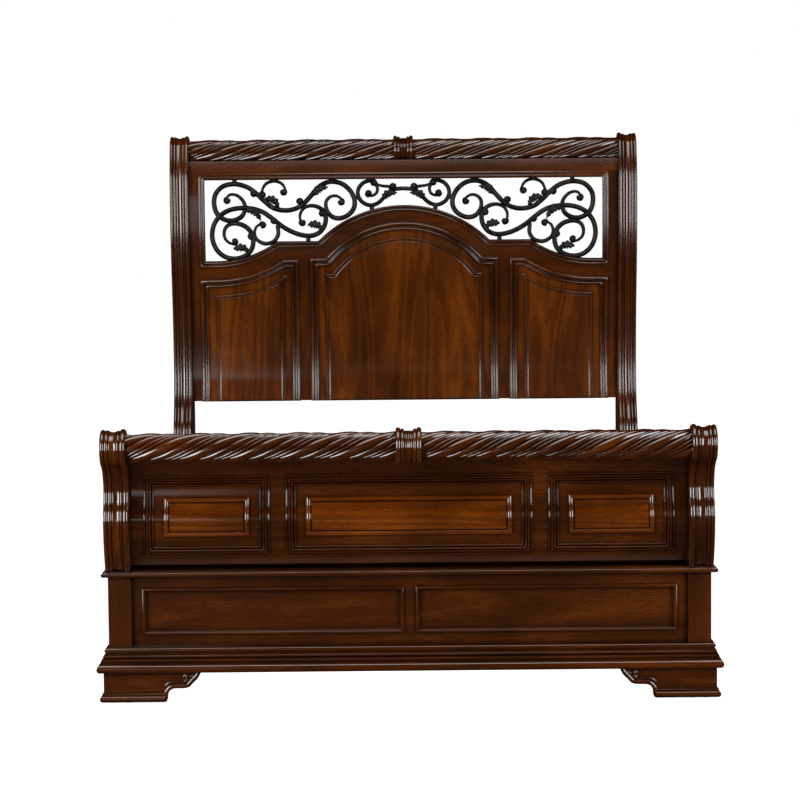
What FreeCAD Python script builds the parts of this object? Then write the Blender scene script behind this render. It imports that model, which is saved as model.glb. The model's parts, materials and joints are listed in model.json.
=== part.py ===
import FreeCAD, Part
import Sketcher
import math
import os
import re

from FreeCAD import Rotation, Vector

# Queen-size sleigh bed: S-curved posts, rope-carved rolls, framed panels and an iron scroll grille.
# Frame: X across the bed, +Y from the footboard to the headboard, Z up, origin on the floor
# under the middle of the bed. All sizes are in millimetres.

os.makedirs("parts", exist_ok=True)
doc = FreeCAD.newDocument("sleigh_bed")

SIZES = {
    # the whole bed
    "bed_length": 2491, "post_span": 1726, "post_thickness": 66, "fit_gap": 0.3, "glide_height": 4,
    # headboard side profile, measured forward from the hollow of its S-curve
    "head_leg_forward": 65, "head_leg_straight": 526, "head_hollow_height": 806,
    "head_belly_forward": 60, "head_belly_height": 1456, "head_back_depth": 112,
    "head_back_straight": 866, "head_neck_depth": 48, "head_neck_height": 1486,
    "head_roll_depth": 25, "head_roll_height": 1622, "head_roll_radius": 58,
    "head_post_swell": 3, "foot_post_swell": 6,
    # footboard side profile, measured forward from the lower posts' front
    "foot_post_depth": 105, "foot_sill_forward": 12, "foot_belly_forward": 50, "foot_belly_height": 526,
    "foot_neck_forward": 25, "foot_neck_height": 611, "foot_roll_forward": 55,
    "foot_roll_height": 737, "foot_roll_radius": 56, "foot_back_straight": 406,
    # flutes of the posts
    "flute_width": 25, "flute_depth": 7,
    # rope rolls and their collars
    "rope_radius": 43, "rope_root_radius": 35.5, "rope_bead_radius": 40.5,
    "head_rope_lead": 540, "foot_rope_lead": 420,
    "rib_angle": 72, "collar_width": 73, "collar_radius": 53.5, "collar_step_radius": 50,
    "collar_cove_radius": 46, "collar_end_width": 14, "collar_step_width": 10,
    "collar_bead_rise": 4,
    # headboard frame and panels
    "head_frame_setback": 28, "head_frame_thickness": 24, "head_moulding_rise": 8,
    "head_panel_drop": 6, "head_panel_thickness": 12, "head_field_rise": 4, "head_field_inset": 60,
    "head_moulding_width": 30, "panel_bottom": 690, "side_panel_outer": 762, "side_panel_inner": 392,
    "centre_panel_half": 352, "opening_half": 740, "opening_top": 1517, "opening_end_height": 1211,
    "shoulder_height": 1284, "ogee_start": 700, "ogee_radius": 389, "arch_radius": 451,
    "arch_centre_height": 966, "trim_width": 22, "side_rail_drop": 66, "arch_rail_drop": 62,
    "top_rail_height": 1585,
    "batten_height": 70, "batten_thickness": 22, "stretcher_height": 140, "stretcher_bottom": 150,
    # iron grille
    "iron_thickness": 14, "bar_width": 17, "tip_width": 13, "bulb_radius": 12.5, "iron_forward": 10,
    "stub_width": 22, "stub_depth": 6,
    # footboard boards, panels and ledge
    "ledge_bottom": 363, "ledge_thickness": 17, "ledge_overhang": 18,
    "foot_board_setback": 45, "foot_board_depth": 62, "foot_moulding_width": 30,
    "foot_moulding_rise": 8, "foot_field_inset": 58, "foot_field_drop": 64,
    "foot_field_rise": 4,
    "foot_panel_bottom": 419, "foot_panel_top": 651, "foot_side_inner": 398, "foot_side_outer": 758,
    "lower_board_setback": 16, "lower_board_thickness": 26, "lower_panel_bottom": 192,
    "lower_panel_top": 328, "lower_panel_inner": 16, "lower_panel_outer": 768,
    "lower_recess": 8, "lower_moulding_width": 15, "lower_moulding_rise": 6,
    # plinth
    "plinth_bottom": 89, "plinth_top": 158, "plinth_overhang": 33, "bracket_overhang": 15,
    "bracket_length": 278, "bracket_thickness": 22, "bead_height": 24, "bead_overhang": 10,
    "bead_length": 176, "glide_radius": 12,
    # rails, slats and centre supports
    "rail_thickness": 28, "rail_height": 195, "rail_bottom": 150, "cleat_size": 25,
    "slat_bottom": 220, "slat_thickness": 20, "slat_width": 90, "slat_pitch": 620,
    "leg_size": 44, "leg_bottom": 30, "thread_radius": 5, "bore_depth": 50, "stem_top": 62,
    "leveller_radius": 19, "leveller_height": 10,
    "hook_plate_height": 120, "hook_plate_width": 18, "plate_thickness": 3, "hook_length": 12,
    "hook_height": 20, "hook_thickness": 4, "hook_spacing": 64,
    "screw_radius": 2.2, "screw_head_radius": 4.5, "screw_length": 34,
}

sheet = doc.addObject("Spreadsheet::Sheet", "Sizes")
for row, (alias, value) in enumerate(SIZES.items(), start=1):
    sheet.set(f"A{row}", alias.replace("_", " "))
    sheet.set(f"B{row}", str(value))
    sheet.setAlias(f"B{row}", alias)
doc.recompute()


class Size:
    """Reads the sheet's cells by their alias."""

    def __getattr__(self, alias):
        return float(sheet.get(alias))


size = Size()
INNER = size.post_span / 2 - size.post_thickness
OUTER = size.post_span / 2
FOOT_FACE = -size.bed_length / 2 + size.foot_roll_forward + size.foot_roll_radius
HEAD_FACE = size.bed_length / 2 - size.head_back_depth
LEDGE_TOP = size.ledge_bottom + size.ledge_thickness
FAR = 3000.0

exported = []


def bound(formula):
    """Turns alias words in a formula into references to the sheet."""
    return re.sub(r"[a-z_]{3,}", lambda word: "Sizes." + word.group(0), formula)


def keep(item, label):
    """Names a finished sub-part and lists it for export."""
    item.Label = label
    exported.append(item)
    return item


def feature(label, shape):
    """A sub-part whose shape the sheet's values make directly."""
    item = doc.addObject("Part::Feature", label)
    item.Shape = shape
    return keep(item, label)


def box_object(name, lengths, corner):
    """A Part::Box whose edges and corner are formulas on the sheet."""
    item = doc.addObject("Part::Box", name)
    for prop, formula in zip(("Length", "Width", "Height"), lengths):
        item.setExpression(prop, bound(formula))
    for axis, formula in zip("xyz", corner):
        item.setExpression(f"Placement.Base.{axis}", bound(formula))
    return item


def block(low, high):
    """A box shape between two corners."""
    return Part.makeBox(high[0] - low[0], high[1] - low[1], high[2] - low[2], Vector(*low))


def mirrored(shape):
    """The same shape on the other side of the bed's centre plane."""
    return shape.mirror(Vector(0, 0, 0), Vector(1, 0, 0))


# ---------------------------------------------------------------- S-curved side profiles

class Stretch:
    """An arc of a side profile in (forward, height); bulge is 1 where it swells forward."""

    def __init__(self, centre, radius, start, end, bulge=1):
        self.centre, self.radius, self.start, self.end, self.bulge = centre, radius, start, end, bulge

    def point(self, angle, inset=0.0):
        radius = self.radius - self.bulge * inset
        return (self.centre[0] + radius * math.cos(angle), self.centre[1] + radius * math.sin(angle))

    def points(self, inset=0.0):
        middle = (self.start + self.end) / 2
        return [self.point(angle, inset) for angle in (self.start, middle, self.end)]


def towards(origin, target):
    """The angle of the line from one point to another."""
    return math.atan2(target[1] - origin[1], target[0] - origin[0])


def swell(rise, step):
    """The radius sum of two arcs that shift a vertical line sideways by step over rise."""
    return (rise ** 2 + step ** 2) / (2 * step)


def foot_curve(start_height):
    """Front of the footboard's upper part: belly, neck and roll."""
    belly_in, belly = size.foot_belly_forward, size.foot_belly_height
    lower = swell(belly - LEDGE_TOP, belly_in - size.foot_sill_forward)
    roll = (size.foot_roll_forward, size.foot_roll_height)
    reach = size.foot_roll_forward - size.foot_neck_forward
    rise = size.foot_roll_height - size.foot_neck_height
    hollow = (reach ** 2 + rise ** 2 - size.foot_roll_radius ** 2) / (2 * (reach + size.foot_roll_radius))
    upper = swell(size.foot_neck_height - belly, belly_in - size.foot_neck_forward) - hollow
    upper_centre = (belly_in - upper, belly)
    hollow_centre = (size.foot_neck_forward + hollow, size.foot_neck_height)
    turn = towards(upper_centre, hollow_centre)
    leave = towards(hollow_centre, roll)
    back = foot_back_radius()
    back_centre = (-size.foot_post_depth + back, size.foot_back_straight)
    return [
        Stretch((belly_in - lower, belly), lower, -math.asin((belly - start_height) / lower), 0),
        Stretch(upper_centre, upper, 0, turn),
        Stretch(hollow_centre, hollow, turn + math.pi, leave, -1),
        Stretch(roll, size.foot_roll_radius, leave - math.pi, towards(back_centre, roll)),
    ]


def foot_back_radius():
    """The long arc of the footboard's back, which runs into the roll from outside."""
    across = size.foot_roll_forward + size.foot_post_depth
    rise = size.foot_roll_height - size.foot_back_straight
    return (across ** 2 + rise ** 2 - size.foot_roll_radius ** 2) / (2 * (across - size.foot_roll_radius))


def board_back():
    """The bed side of the upper footboard: flat, then hollow up into the roll."""
    depth, neck = size.foot_board_depth, size.foot_neck_height
    reach, rise = size.foot_roll_forward + depth - size.rope_radius / 2, size.foot_roll_height - neck
    radius = (reach ** 2 + rise ** 2) / (2 * reach)
    centre = (radius - depth, neck)
    top = (size.foot_roll_forward - size.rope_radius / 2, size.foot_roll_height)
    return to_edges([(-depth, LEDGE_TOP - 10), Stretch(centre, radius, math.pi, towards(centre, top), -1)],
                    FOOT_FACE, -INNER)


def head_curve(start_height):
    """Front of the headboard: leg, hollow, belly and roll; a tall arc stands for the straight leg."""
    leg, straight = size.head_leg_forward, size.head_leg_straight
    hollow_height, belly = size.head_hollow_height, size.head_belly_height
    low = swell(hollow_height - straight, leg)
    heel, hollow = 0.4 * low, 0.6 * low
    high = swell(belly - hollow_height, size.head_belly_forward)
    roll = (-size.head_roll_depth, size.head_roll_height)
    reach = size.head_belly_forward + size.head_roll_depth
    rise = size.head_roll_height - belly
    crown = (reach ** 2 + rise ** 2 - size.head_roll_radius ** 2) / (2 * (reach - size.head_roll_radius))
    heel_centre, hollow_centre = (leg - heel, straight), (hollow, hollow_height)
    rising_centre = (high / 2, hollow_height)
    belly_centre = (size.head_belly_forward - high / 2, belly)
    crown_centre = (size.head_belly_forward - crown, belly)
    turn, rising = towards(heel_centre, hollow_centre), towards(rising_centre, belly_centre)
    top = towards(crown_centre, roll)
    neck_centre = head_neck_centre()
    arcs = [
        Stretch(heel_centre, heel, 0, turn),
        Stretch(hollow_centre, hollow, turn + math.pi, math.pi, -1),
        Stretch(rising_centre, high / 2, math.pi, rising, -1),
        Stretch(belly_centre, high / 2, rising - math.pi, 0),
        Stretch(crown_centre, crown, 0, top),
        Stretch(roll, size.head_roll_radius, top, towards(roll, neck_centre) + 2 * math.pi),
    ]
    return arcs if start_height is None else [(leg, start_height)] + arcs


def head_neck_radius():
    """The hollow under the back of the headboard's roll."""
    reach = size.head_neck_depth - size.head_roll_depth
    rise = size.head_roll_height - size.head_neck_height
    return (reach ** 2 + rise ** 2 - size.head_roll_radius ** 2) / (2 * (size.head_roll_radius - reach))


def head_neck_centre():
    return (-size.head_neck_depth - head_neck_radius(), size.head_neck_height)


def to_edges(curve, face, x, inset=0.0):
    """Edges of a profile at one X; a bare point in the list starts a straight stretch."""
    def place(point):
        return Vector(x, face - point[0], point[1])

    edges, last = [], None
    for item in curve:
        if isinstance(item, tuple):
            here = place((item[0] - inset, item[1]))
            if last is not None:
                edges.append(Part.makeLine(last, here))
        else:
            first, middle, here = (place(point) for point in item.points(inset))
            if last is not None and last.distanceToPoint(first) > 1e-6:
                edges.append(Part.makeLine(last, first))
            edges.append(Part.Arc(first, middle, here).toShape())
        last = here
    return edges


def between(front, back, x_low, x_high):
    """The solid between two rows of edges that run the same way, drawn out along X."""
    ends = [Part.makeLine(a, b) for a, b in (
        (front[0].firstVertex(True).Point, back[0].firstVertex(True).Point),
        (front[-1].lastVertex(True).Point, back[-1].lastVertex(True).Point))]
    wire = Part.Wire(Part.__sortEdges__(front + ends + back))
    return Part.Face(wire).extrude(Vector(x_high - x_low, 0, 0))


def slab(curve, face, near, far, x_low, x_high):
    """The layer between two insets of a profile, drawn out along X."""
    front, back = (to_edges(curve, face, x_low, inset) for inset in (near, far))
    return between(front, back, x_low, x_high)


def fluted(outline_edges, curve, face, x_low):
    """A post between two X planes with a hollow flute down the middle of its front."""
    wire = Part.Wire(Part.__sortEdges__(outline_edges))
    thickness = -INNER - x_low
    solid = Part.Face(wire).extrude(Vector(thickness, 0, 0))
    start = x_low + (thickness - size.flute_width) / 2
    groove = slab(curve, face, -1, size.flute_depth, start, start + size.flute_width)
    return solid.cut(groove)


# ---------------------------------------------------------------- outlines across the boards

def prism(points):
    """A closed outline in X and Z, with arcs given as (middle, end), drawn through the bed."""
    edges, last = [], Vector(points[0][0], -FAR, points[0][1])
    for item in points[1:] + [points[0]]:
        if isinstance(item[0], tuple):
            middle, end = (Vector(p[0], -FAR, p[1]) for p in item)
            edges.append(Part.Arc(last, middle, end).toShape())
        else:
            end = Vector(item[0], -FAR, item[1])
            edges.append(Part.makeLine(last, end))
        last = end
    return Part.Face(Part.Wire(edges)).extrude(Vector(0, 2 * FAR, 0))


def window(x_low, x_high, z_low, z_high, inset=0.0):
    """A rectangular prism through the bed, smaller by inset on every side."""
    return block((x_low + inset, -FAR, z_low + inset), (x_high - inset, FAR, z_high - inset))


def arch(drop, shoulder):
    """Middle and half width of the arch at a drop below the opening's edge."""
    radius = size.arch_radius - drop
    half = math.sqrt(radius ** 2 - (shoulder - size.arch_centre_height) ** 2)
    return radius, half


def ogee(drop, shoulder):
    """X of the corner and the middle point of the hollow side curve at a drop."""
    radius = size.ogee_radius + drop
    centre = size.opening_end_height + size.ogee_radius
    corner = math.sqrt(radius ** 2 - (centre - shoulder) ** 2)
    half = math.asin(corner / radius) / 2
    middle = (radius * math.sin(half), centre - radius * math.cos(half))
    return corner, middle


def opening(outset):
    """The grille opening: hollow curves at the ends, shoulders and a central arch below."""
    shoulder, end = size.shoulder_height - outset, size.opening_end_height - outset
    radius, half = arch(outset, shoulder)
    corner, middle = ogee(outset, shoulder)
    side, top, start = size.opening_half + outset, size.opening_top + outset, size.ogee_start
    crown = (0, size.arch_centre_height + radius)
    return prism([
        (-side, top), (-side, end), (-start, end),
        ((middle[0] - start, middle[1]), (corner - start, shoulder)),
        (-half, shoulder), (crown, (half, shoulder)), (start - corner, shoulder),
        ((start - middle[0], middle[1]), (start, end)),
        (side, end), (side, top),
    ])


def side_panel(inset, bottom):
    """The left panel's outline; its head follows the opening's hollow curve."""
    drop = size.side_rail_drop + inset
    shoulder, end = size.shoulder_height - drop, size.opening_end_height - drop
    corner, middle = ogee(drop, shoulder)
    start = size.ogee_start
    left, right = -size.side_panel_outer + inset, -size.side_panel_inner - inset
    return prism([
        (left, bottom), (left, end), (-start, end),
        ((middle[0] - start, middle[1]), (corner - start, shoulder)),
        (right, shoulder), (right, bottom),
    ])


def centre_panel(inset, bottom):
    """The middle panel's outline, with square shoulders beside its arch."""
    drop = size.arch_rail_drop + inset
    shoulder = size.shoulder_height - drop
    radius, half = arch(drop, shoulder)
    side = size.centre_panel_half - inset
    crown = (0, size.arch_centre_height + radius)
    return prism([
        (-side, bottom), (-side, shoulder), (-half, shoulder), (crown, (half, shoulder)),
        (side, shoulder), (side, bottom),
    ])


# ---------------------------------------------------------------- posts

def head_post():
    """The left headboard post, from its glide to the roll."""
    face, bottom, outer = HEAD_FACE, size.glide_height, -OUTER - size.head_post_swell
    front = head_curve(bottom)
    neck = head_neck_radius()
    neck_centre = head_neck_centre()
    shift = swell(size.head_neck_height - size.head_back_straight,
                  size.head_back_depth - size.head_neck_depth) / 2
    upper_centre = (-size.head_neck_depth - shift, size.head_neck_height)
    lower_centre = (-size.head_back_depth + shift, size.head_back_straight)
    bend = towards(lower_centre, upper_centre)
    back = [
        Stretch(neck_centre, neck, towards(neck_centre, (-size.head_roll_depth, size.head_roll_height)), 0),
        Stretch(upper_centre, shift, 0, bend - math.pi),
        Stretch(lower_centre, shift, bend, math.pi),
        (-size.head_back_depth, bottom),
    ]
    edges = to_edges(front, face, outer) + to_edges(back, face, outer)
    edges.append(Part.makeLine(edges[-1].lastVertex(True).Point, edges[0].firstVertex(True).Point))
    flute_path = head_curve(bottom - 2)
    flute_path[-1] = Stretch(flute_path[-1].centre, flute_path[-1].radius, flute_path[-1].start, math.pi)
    return fluted(edges, flute_path, face, outer)


def foot_post_upper():
    """The left upper footboard post, standing on the ledge."""
    front, outer = foot_curve(LEDGE_TOP), -OUTER - size.foot_post_swell
    back = foot_back_radius()
    centre = (-size.foot_post_depth + back, size.foot_back_straight)
    roll = (size.foot_roll_forward, size.foot_roll_height)
    rear = [Stretch(centre, back, towards(centre, roll), math.pi), (-size.foot_post_depth, LEDGE_TOP)]
    edges = to_edges(front, FOOT_FACE, outer) + to_edges(rear, FOOT_FACE, outer)
    edges.append(Part.makeLine(edges[-1].lastVertex(True).Point, edges[0].firstVertex(True).Point))
    return fluted(edges, foot_curve(LEDGE_TOP - 3), FOOT_FACE, outer)


# ---------------------------------------------------------------- rope rolls and collars

def rope_section():
    """Three broad ribs with a narrow bead between each two, in the Y-Z plane at X = 0."""
    def at(angle, radius):
        return Vector(0, radius * math.cos(angle), radius * math.sin(angle))

    root, bead = size.rope_root_radius, size.rope_bead_radius
    rib = math.radians(size.rib_angle)
    step = 2 * math.pi / 3
    edges = []
    for turn in range(3):
        start = turn * step
        for low, high, crest in ((start, start + rib, size.rope_radius), (start + rib, start + step, bead)):
            edges.append(Part.Arc(at(low, root), at((low + high) / 2, crest), at(high, root)).toShape())
    return Part.Wire(edges)


def rope(x_low, x_high, y, z, lead):
    """A rope-carved roll: the ribbed section turned left-handed along X."""
    length = x_high - x_low
    spine = Part.Wire([Part.makeLine(Vector(0, 0, 0), Vector(length, 0, 0))])
    guide = Part.makeLongHelix(lead, length, size.rope_root_radius / 2)
    guide.rotate(Vector(0, 0, 0), Vector(0, 1, 0), 90)
    sweep = Part.BRepOffsetAPI.MakePipeShell(spine)
    sweep.setAuxiliarySpine(guide, True, False)
    sweep.add(rope_section(), False, False)
    sweep.build()
    sweep.makeSolid()
    roll = sweep.shape().mirror(Vector(0, 0, 0), Vector(0, 0, 1))
    roll.translate(Vector(x_low, y, z))
    return roll


def collar(name, y_formula, z_formula):
    """The turned collar between the two rope rolls, as a revolved sketch."""
    body = doc.addObject("PartDesign::Body", name)
    sketch = body.newObject("Sketcher::SketchObject", name + "_profile")
    plane = [item for item in body.Origin.OriginFeatures if item.Role == "XY_Plane"][0]
    sketch.AttachmentSupport = [(plane, "")]
    sketch.MapMode = "FlatFace"
    half, end, step = size.collar_width / 2, size.collar_end_width, size.collar_step_width
    outer, inner, cove = size.collar_radius, size.collar_step_radius, size.collar_cove_radius
    stations = [(-half, -half + end, outer), (-half + end, -half + end + step, inner),
                (-half + end + step, half - end - step, cove),
                (half - end - step, half - end, inner), (half - end, half, outer)]
    last = Vector(-half, 0, 0)
    for low, high, crest in stations:
        shoulder = crest - size.collar_bead_rise
        first, after = Vector(low, shoulder, 0), Vector(high, shoulder, 0)
        sketch.addGeometry(Part.LineSegment(last, first), False)
        sketch.addGeometry(Part.Arc(first, Vector((low + high) / 2, crest, 0), after), False)
        last = after
    sketch.addGeometry(Part.LineSegment(last, Vector(half, 0, 0)), False)
    sketch.addGeometry(Part.LineSegment(Vector(half, 0, 0), Vector(-half, 0, 0)), False)
    turn = body.newObject("PartDesign::Revolution", name + "_turned")
    turn.Profile = sketch
    turn.ReferenceAxis = (sketch, ["H_Axis"])
    turn.Angle = 360
    body.setExpression("Placement.Base.y", bound(y_formula))
    body.setExpression("Placement.Base.z", bound(z_formula))
    return keep(body, name)


# ---------------------------------------------------------------- iron grille

SCROLL_UPPER = [  # hand-forged scroll from its inner bulb, round two loops and into the far bulb
    (-655, 1436), (-664, 1452), (-650, 1465), (-622, 1459), (-598, 1437), (-590, 1408), (-603, 1380),
    (-634, 1365), (-667, 1369), (-697, 1394), (-709, 1431), (-702, 1470), (-672, 1500), (-625, 1507),
    (-582, 1493), (-548, 1466), (-518, 1436), (-486, 1411), (-447, 1401), (-409, 1405), (-377, 1421),
    (-349, 1449), (-323, 1479), (-298, 1498), (-266, 1506), (-229, 1498), (-199, 1473), (-183, 1440),
    (-185, 1408), (-205, 1383), (-236, 1370), (-266, 1376), (-285, 1399), (-289, 1429), (-274, 1449),
    (-250, 1453), (-231, 1439), (-236, 1417),
]
SCROLL_LOWER = [
    (-632, 1289), (-648, 1276), (-666, 1293), (-669, 1323), (-656, 1346), (-628, 1354), (-594, 1345),
    (-570, 1322), (-561, 1291), (-568, 1257), (-591, 1234), (-627, 1223), (-666, 1230), (-696, 1255),
    (-712, 1292), (-712, 1331), (-699, 1364), (-673, 1391), (-640, 1406), (-600, 1411), (-558, 1407),
    (-522, 1394), (-489, 1371), (-457, 1345), (-420, 1323), (-381, 1309), (-345, 1306), (-314, 1318),
    (-295, 1344), (-290, 1374), (-300, 1399), (-323, 1414), (-350, 1417), (-373, 1406), (-383, 1383),
    (-379, 1360),
]
SCROLL_RING = [(-527, 1340), (-545, 1337), (-555, 1316), (-545, 1291), (-516, 1278), (-485, 1286),
               (-468, 1312), (-470, 1346)]
SCROLL_HOOK = [(-524, 1446), (-525, 1476), (-511, 1500), (-482, 1510), (-453, 1503), (-438, 1483),
               (-446, 1466)]
SCROLL_CENTRE = [(-119, 1469), (-132, 1458), (-118, 1452), (-101, 1462), (-97, 1481), (-106, 1499),
                 (-125, 1508), (-150, 1500), (-167, 1479), (-169, 1454), (-154, 1430), (-125, 1417),
                 (-96, 1425), (-74, 1444), (-54, 1464), (-30, 1476), (0, 1479)]
SCROLL_BRANCH = [(-122, 1508), (-102, 1497), (-81, 1489), (-56, 1486), (-38, 1476)]
BUDS = [((-570, 1459), (-550, 1467)), ((-388, 1448), (-384, 1417)), ((-497, 1360), (-480, 1364)),
        ((-583, 1305), (-563, 1306)), ((-317, 1387), (-297, 1390)), ((-41, 1500), (-38, 1478))]
LEAVES = [((-510, 1452), (-468, 1414)), ((-330, 1458), (-286, 1482)), ((-588, 1404), (-536, 1366)),
          ((-632, 1262), (-580, 1246)), ((-352, 1344), (-305, 1328)), ((-74, 1442), (-28, 1458))]
CLASPS = [(-177, 1446)]
STUBS = [(-628, 1511, 1), (-266, 1506, 1), (-482, 1510, 1), (-356, 1306, -1), (-628, 1223, -1),
         (-127, 1508, 1), (-118, 1417, -1)]


def unit_turn(before, here, after):
    """The direction at a point from the circle through it and its two neighbours."""
    first, second = here - before, after - here
    direction = first / first.Length ** 2 + second / second.Length ** 2
    return direction.normalize()


def biarc(start, out, end, into):
    """Two tangent arcs from start to end with the given directions, as middle and end points."""
    chord = end - start
    both = out + into
    spread = 2 * (1 - out.dot(into))
    reach = chord.dot(both)
    if spread < 1e-9:
        length = chord.Length / 2
    else:
        length = (-reach + math.sqrt(reach ** 2 + spread * chord.dot(chord))) / spread
    joint = (start + out * length + end - into * length) / 2
    return [(start, out, joint), (joint, (end - into * length - (start + out * length)).normalize(), end)]


def offset_arc(start, direction, end, side):
    """An arc from its start, direction and end, moved sideways."""
    chord = end - start
    cross = direction.x * chord.z - direction.z * chord.x
    normal = Vector(-direction.z, 0, direction.x)
    if abs(cross) < 1e-6 * chord.Length:
        shift = normal * side
        return Part.makeLine(start + shift, end + shift)
    radius = chord.Length ** 2 / (2 * cross)
    centre = start + normal * radius
    scale = (radius - side) / radius
    middle_direction = ((start - centre) + (end - centre)).normalize()
    turned = direction.dot(chord) < 0
    middle = centre + middle_direction * abs(radius) * (-1 if turned else 1)
    return Part.Arc(*(centre + (p - centre) * scale for p in (start, middle, end))).toShape()


def bar(points, width):
    """A flat bar of even width along a smooth line of tangent arcs."""
    line = [Vector(x, 0, z) for x, z in points]
    count = len(line)
    headings = [unit_turn(line[i - 1], line[i], line[i + 1]) for i in range(1, count - 1)]
    first = line[1] - line[0]
    last = line[-1] - line[-2]
    start = (first * (2 * headings[0].dot(first) / first.dot(first)) - headings[0]).normalize()
    finish = (last * (2 * headings[-1].dot(last) / last.dot(last)) - headings[-1]).normalize()
    headings = [start] + headings + [finish]
    spans = [arc for i in range(count - 1)
             for arc in biarc(line[i], headings[i], line[i + 1], headings[i + 1])]
    solids = []
    for begin, heading, end in spans:
        left = offset_arc(begin, heading, end, width / 2)
        right = offset_arc(begin, heading, end, -width / 2)
        caps = [Part.makeLine(left.firstVertex(True).Point, right.firstVertex(True).Point),
                Part.makeLine(left.lastVertex(True).Point, right.lastVertex(True).Point)]
        wire = Part.Wire(Part.__sortEdges__([left, right] + caps))
        solids.append(Part.Face(wire).extrude(Vector(0, size.iron_thickness, 0)))
    return solids[0].multiFuse(solids[1:]).removeSplitter()


def disc(x, z, radius):
    """A round bulb at the end of a bar."""
    return Part.makeCylinder(radius, size.iron_thickness, Vector(x, 0, z), Vector(0, 1, 0))


def leaf(base, tip, width=13.0):
    """A pointed leaf between two points, made of two arcs."""
    low, high = Vector(base[0], 0, base[1]), Vector(tip[0], 0, tip[1])
    across = Vector(-(high - low).z, 0, (high - low).x).normalize() * width
    middle = (low + high) / 2
    edges = [Part.Arc(low, middle + across, high).toShape(), Part.Arc(high, middle - across, low).toShape()]
    return Part.Face(Part.Wire(edges)).extrude(Vector(0, size.iron_thickness, 0))


def stub(x, z, side):
    """The short lug that lets a loop into the frame of the opening."""
    half = size.stub_width / 2
    reach = 60.0
    low, high = (z, z + reach) if side > 0 else (z - reach, z)
    return block((x - half, 0, low), (x + half, size.iron_thickness, high))


def iron_grille():
    """One welded grille: the left half, its mirror image and the central pair of scrolls."""
    width, tip = size.bar_width, size.tip_width
    pieces = [bar(SCROLL_UPPER, width), bar(SCROLL_LOWER, width), bar(SCROLL_RING, tip),
              bar(SCROLL_HOOK, tip), bar(SCROLL_CENTRE, tip), bar(SCROLL_BRANCH, tip)]
    for line in (SCROLL_UPPER, SCROLL_LOWER, SCROLL_RING, SCROLL_HOOK, SCROLL_CENTRE):
        pieces.append(disc(*line[0], size.bulb_radius))
    for line in (SCROLL_UPPER, SCROLL_LOWER, SCROLL_HOOK):
        pieces.append(disc(*line[-1], size.bulb_radius))
    for bud, root in BUDS:
        pieces += [disc(*bud, size.bulb_radius - 2), leaf(bud, root, 6.0)]
    pieces += [leaf(base, tip_point) for base, tip_point in LEAVES]
    pieces += [disc(x, z, size.tip_width / 2) for x, z in CLASPS]
    reach = opening(size.stub_depth)
    shifted = Vector(0, HEAD_FACE - size.iron_forward - size.iron_thickness / 2, 0)
    for x, z, side in STUBS:
        pieces.append(stub(x, z, side).common(reach))
    half = pieces[0].multiFuse(pieces[1:])
    whole = half.fuse(mirrored(half)).removeSplitter()
    whole.translate(shifted)
    return whole


# ---------------------------------------------------------------- build: headboard

head_face_curve = head_curve(None)[1:-1]
frame_front = size.head_frame_setback
frame_back = frame_front + size.head_frame_thickness
panel_front = frame_front + size.head_panel_drop
panel_back = panel_front + size.head_panel_thickness
head_frame = slab(head_face_curve, HEAD_FACE, frame_front, frame_back, -INNER, INNER)
head_trim = slab(head_face_curve, HEAD_FACE, frame_front - size.head_moulding_rise, frame_back, -INNER, INNER)
head_board = slab(head_face_curve, HEAD_FACE, panel_front, panel_back, -INNER, INNER)
head_field = slab(head_face_curve, HEAD_FACE, panel_front - size.head_field_rise, panel_front, -INNER, INNER)
head_band = slab(head_face_curve, HEAD_FACE, frame_front - size.head_moulding_rise, panel_front, -INNER, INNER)
head_roll_y = HEAD_FACE + size.head_roll_depth
rope_half = size.collar_width / 2


def roll_space(y, z):
    """The room that the rope rolls and the collar take."""
    crest = max(size.rope_radius, size.rope_bead_radius)
    room = Part.makeCylinder(crest + size.fit_gap, 2 * INNER, Vector(-INNER, y, z), Vector(1, 0, 0))
    half = rope_half + size.fit_gap
    ring = Part.makeCylinder(size.collar_radius + size.fit_gap, 2 * half, Vector(-half, y, z), Vector(1, 0, 0))
    return room.fuse(ring)


hook_gap = 1.0
hook_low = size.rail_bottom + (size.rail_height - size.hook_plate_height) / 2
rail_front = FOOT_FACE + size.foot_post_depth
rail_back = HEAD_FACE - size.head_leg_forward
plate_x = -INNER - size.rail_thickness / 2


def hook_rows():
    """Heights of the two hooks of each plate."""
    middle = hook_low + size.hook_plate_height / 2
    return [middle - size.hook_spacing / 2, middle + size.hook_spacing / 2]


def plate(y, way):
    """A flat plate let into wood at a rail joint; way is the side of y that it lies on."""
    half = size.hook_plate_width / 2
    low, high = sorted((y, y + way * size.plate_thickness))
    return block((plate_x - half, low, hook_low), (plate_x + half, high, hook_low + size.hook_plate_height))


def hook_boxes(y, way, gap=0.0):
    """The two hooks that stand out of a rail's plate into the post, with room round them."""
    half = size.hook_thickness / 2 + gap
    reach = size.plate_thickness + size.hook_length + gap
    low, high = sorted((y, y + way * reach))
    return [block((plate_x - half, low, z - size.hook_height / 2 - gap),
                  (plate_x + half, high, z + size.hook_height / 2 + gap)) for z in hook_rows()]


def hook(y, way):
    """A hook plate let into the end of a rail, with its two hooks."""
    return plate(y, -way).multiFuse(hook_boxes(y, way))


def strike(y, way):
    """A slotted plate let into a post, which takes the hooks."""
    slots = hook_boxes(y, way, hook_gap)
    return plate(y, way).cut(slots[0].fuse(slots[1]))


def joint_room(y, way):
    """What a post loses at a rail joint: the plate's bed and the two hook mortises."""
    slots = hook_boxes(y, way, hook_gap)
    return plate(y, way).multiFuse(slots)


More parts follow.
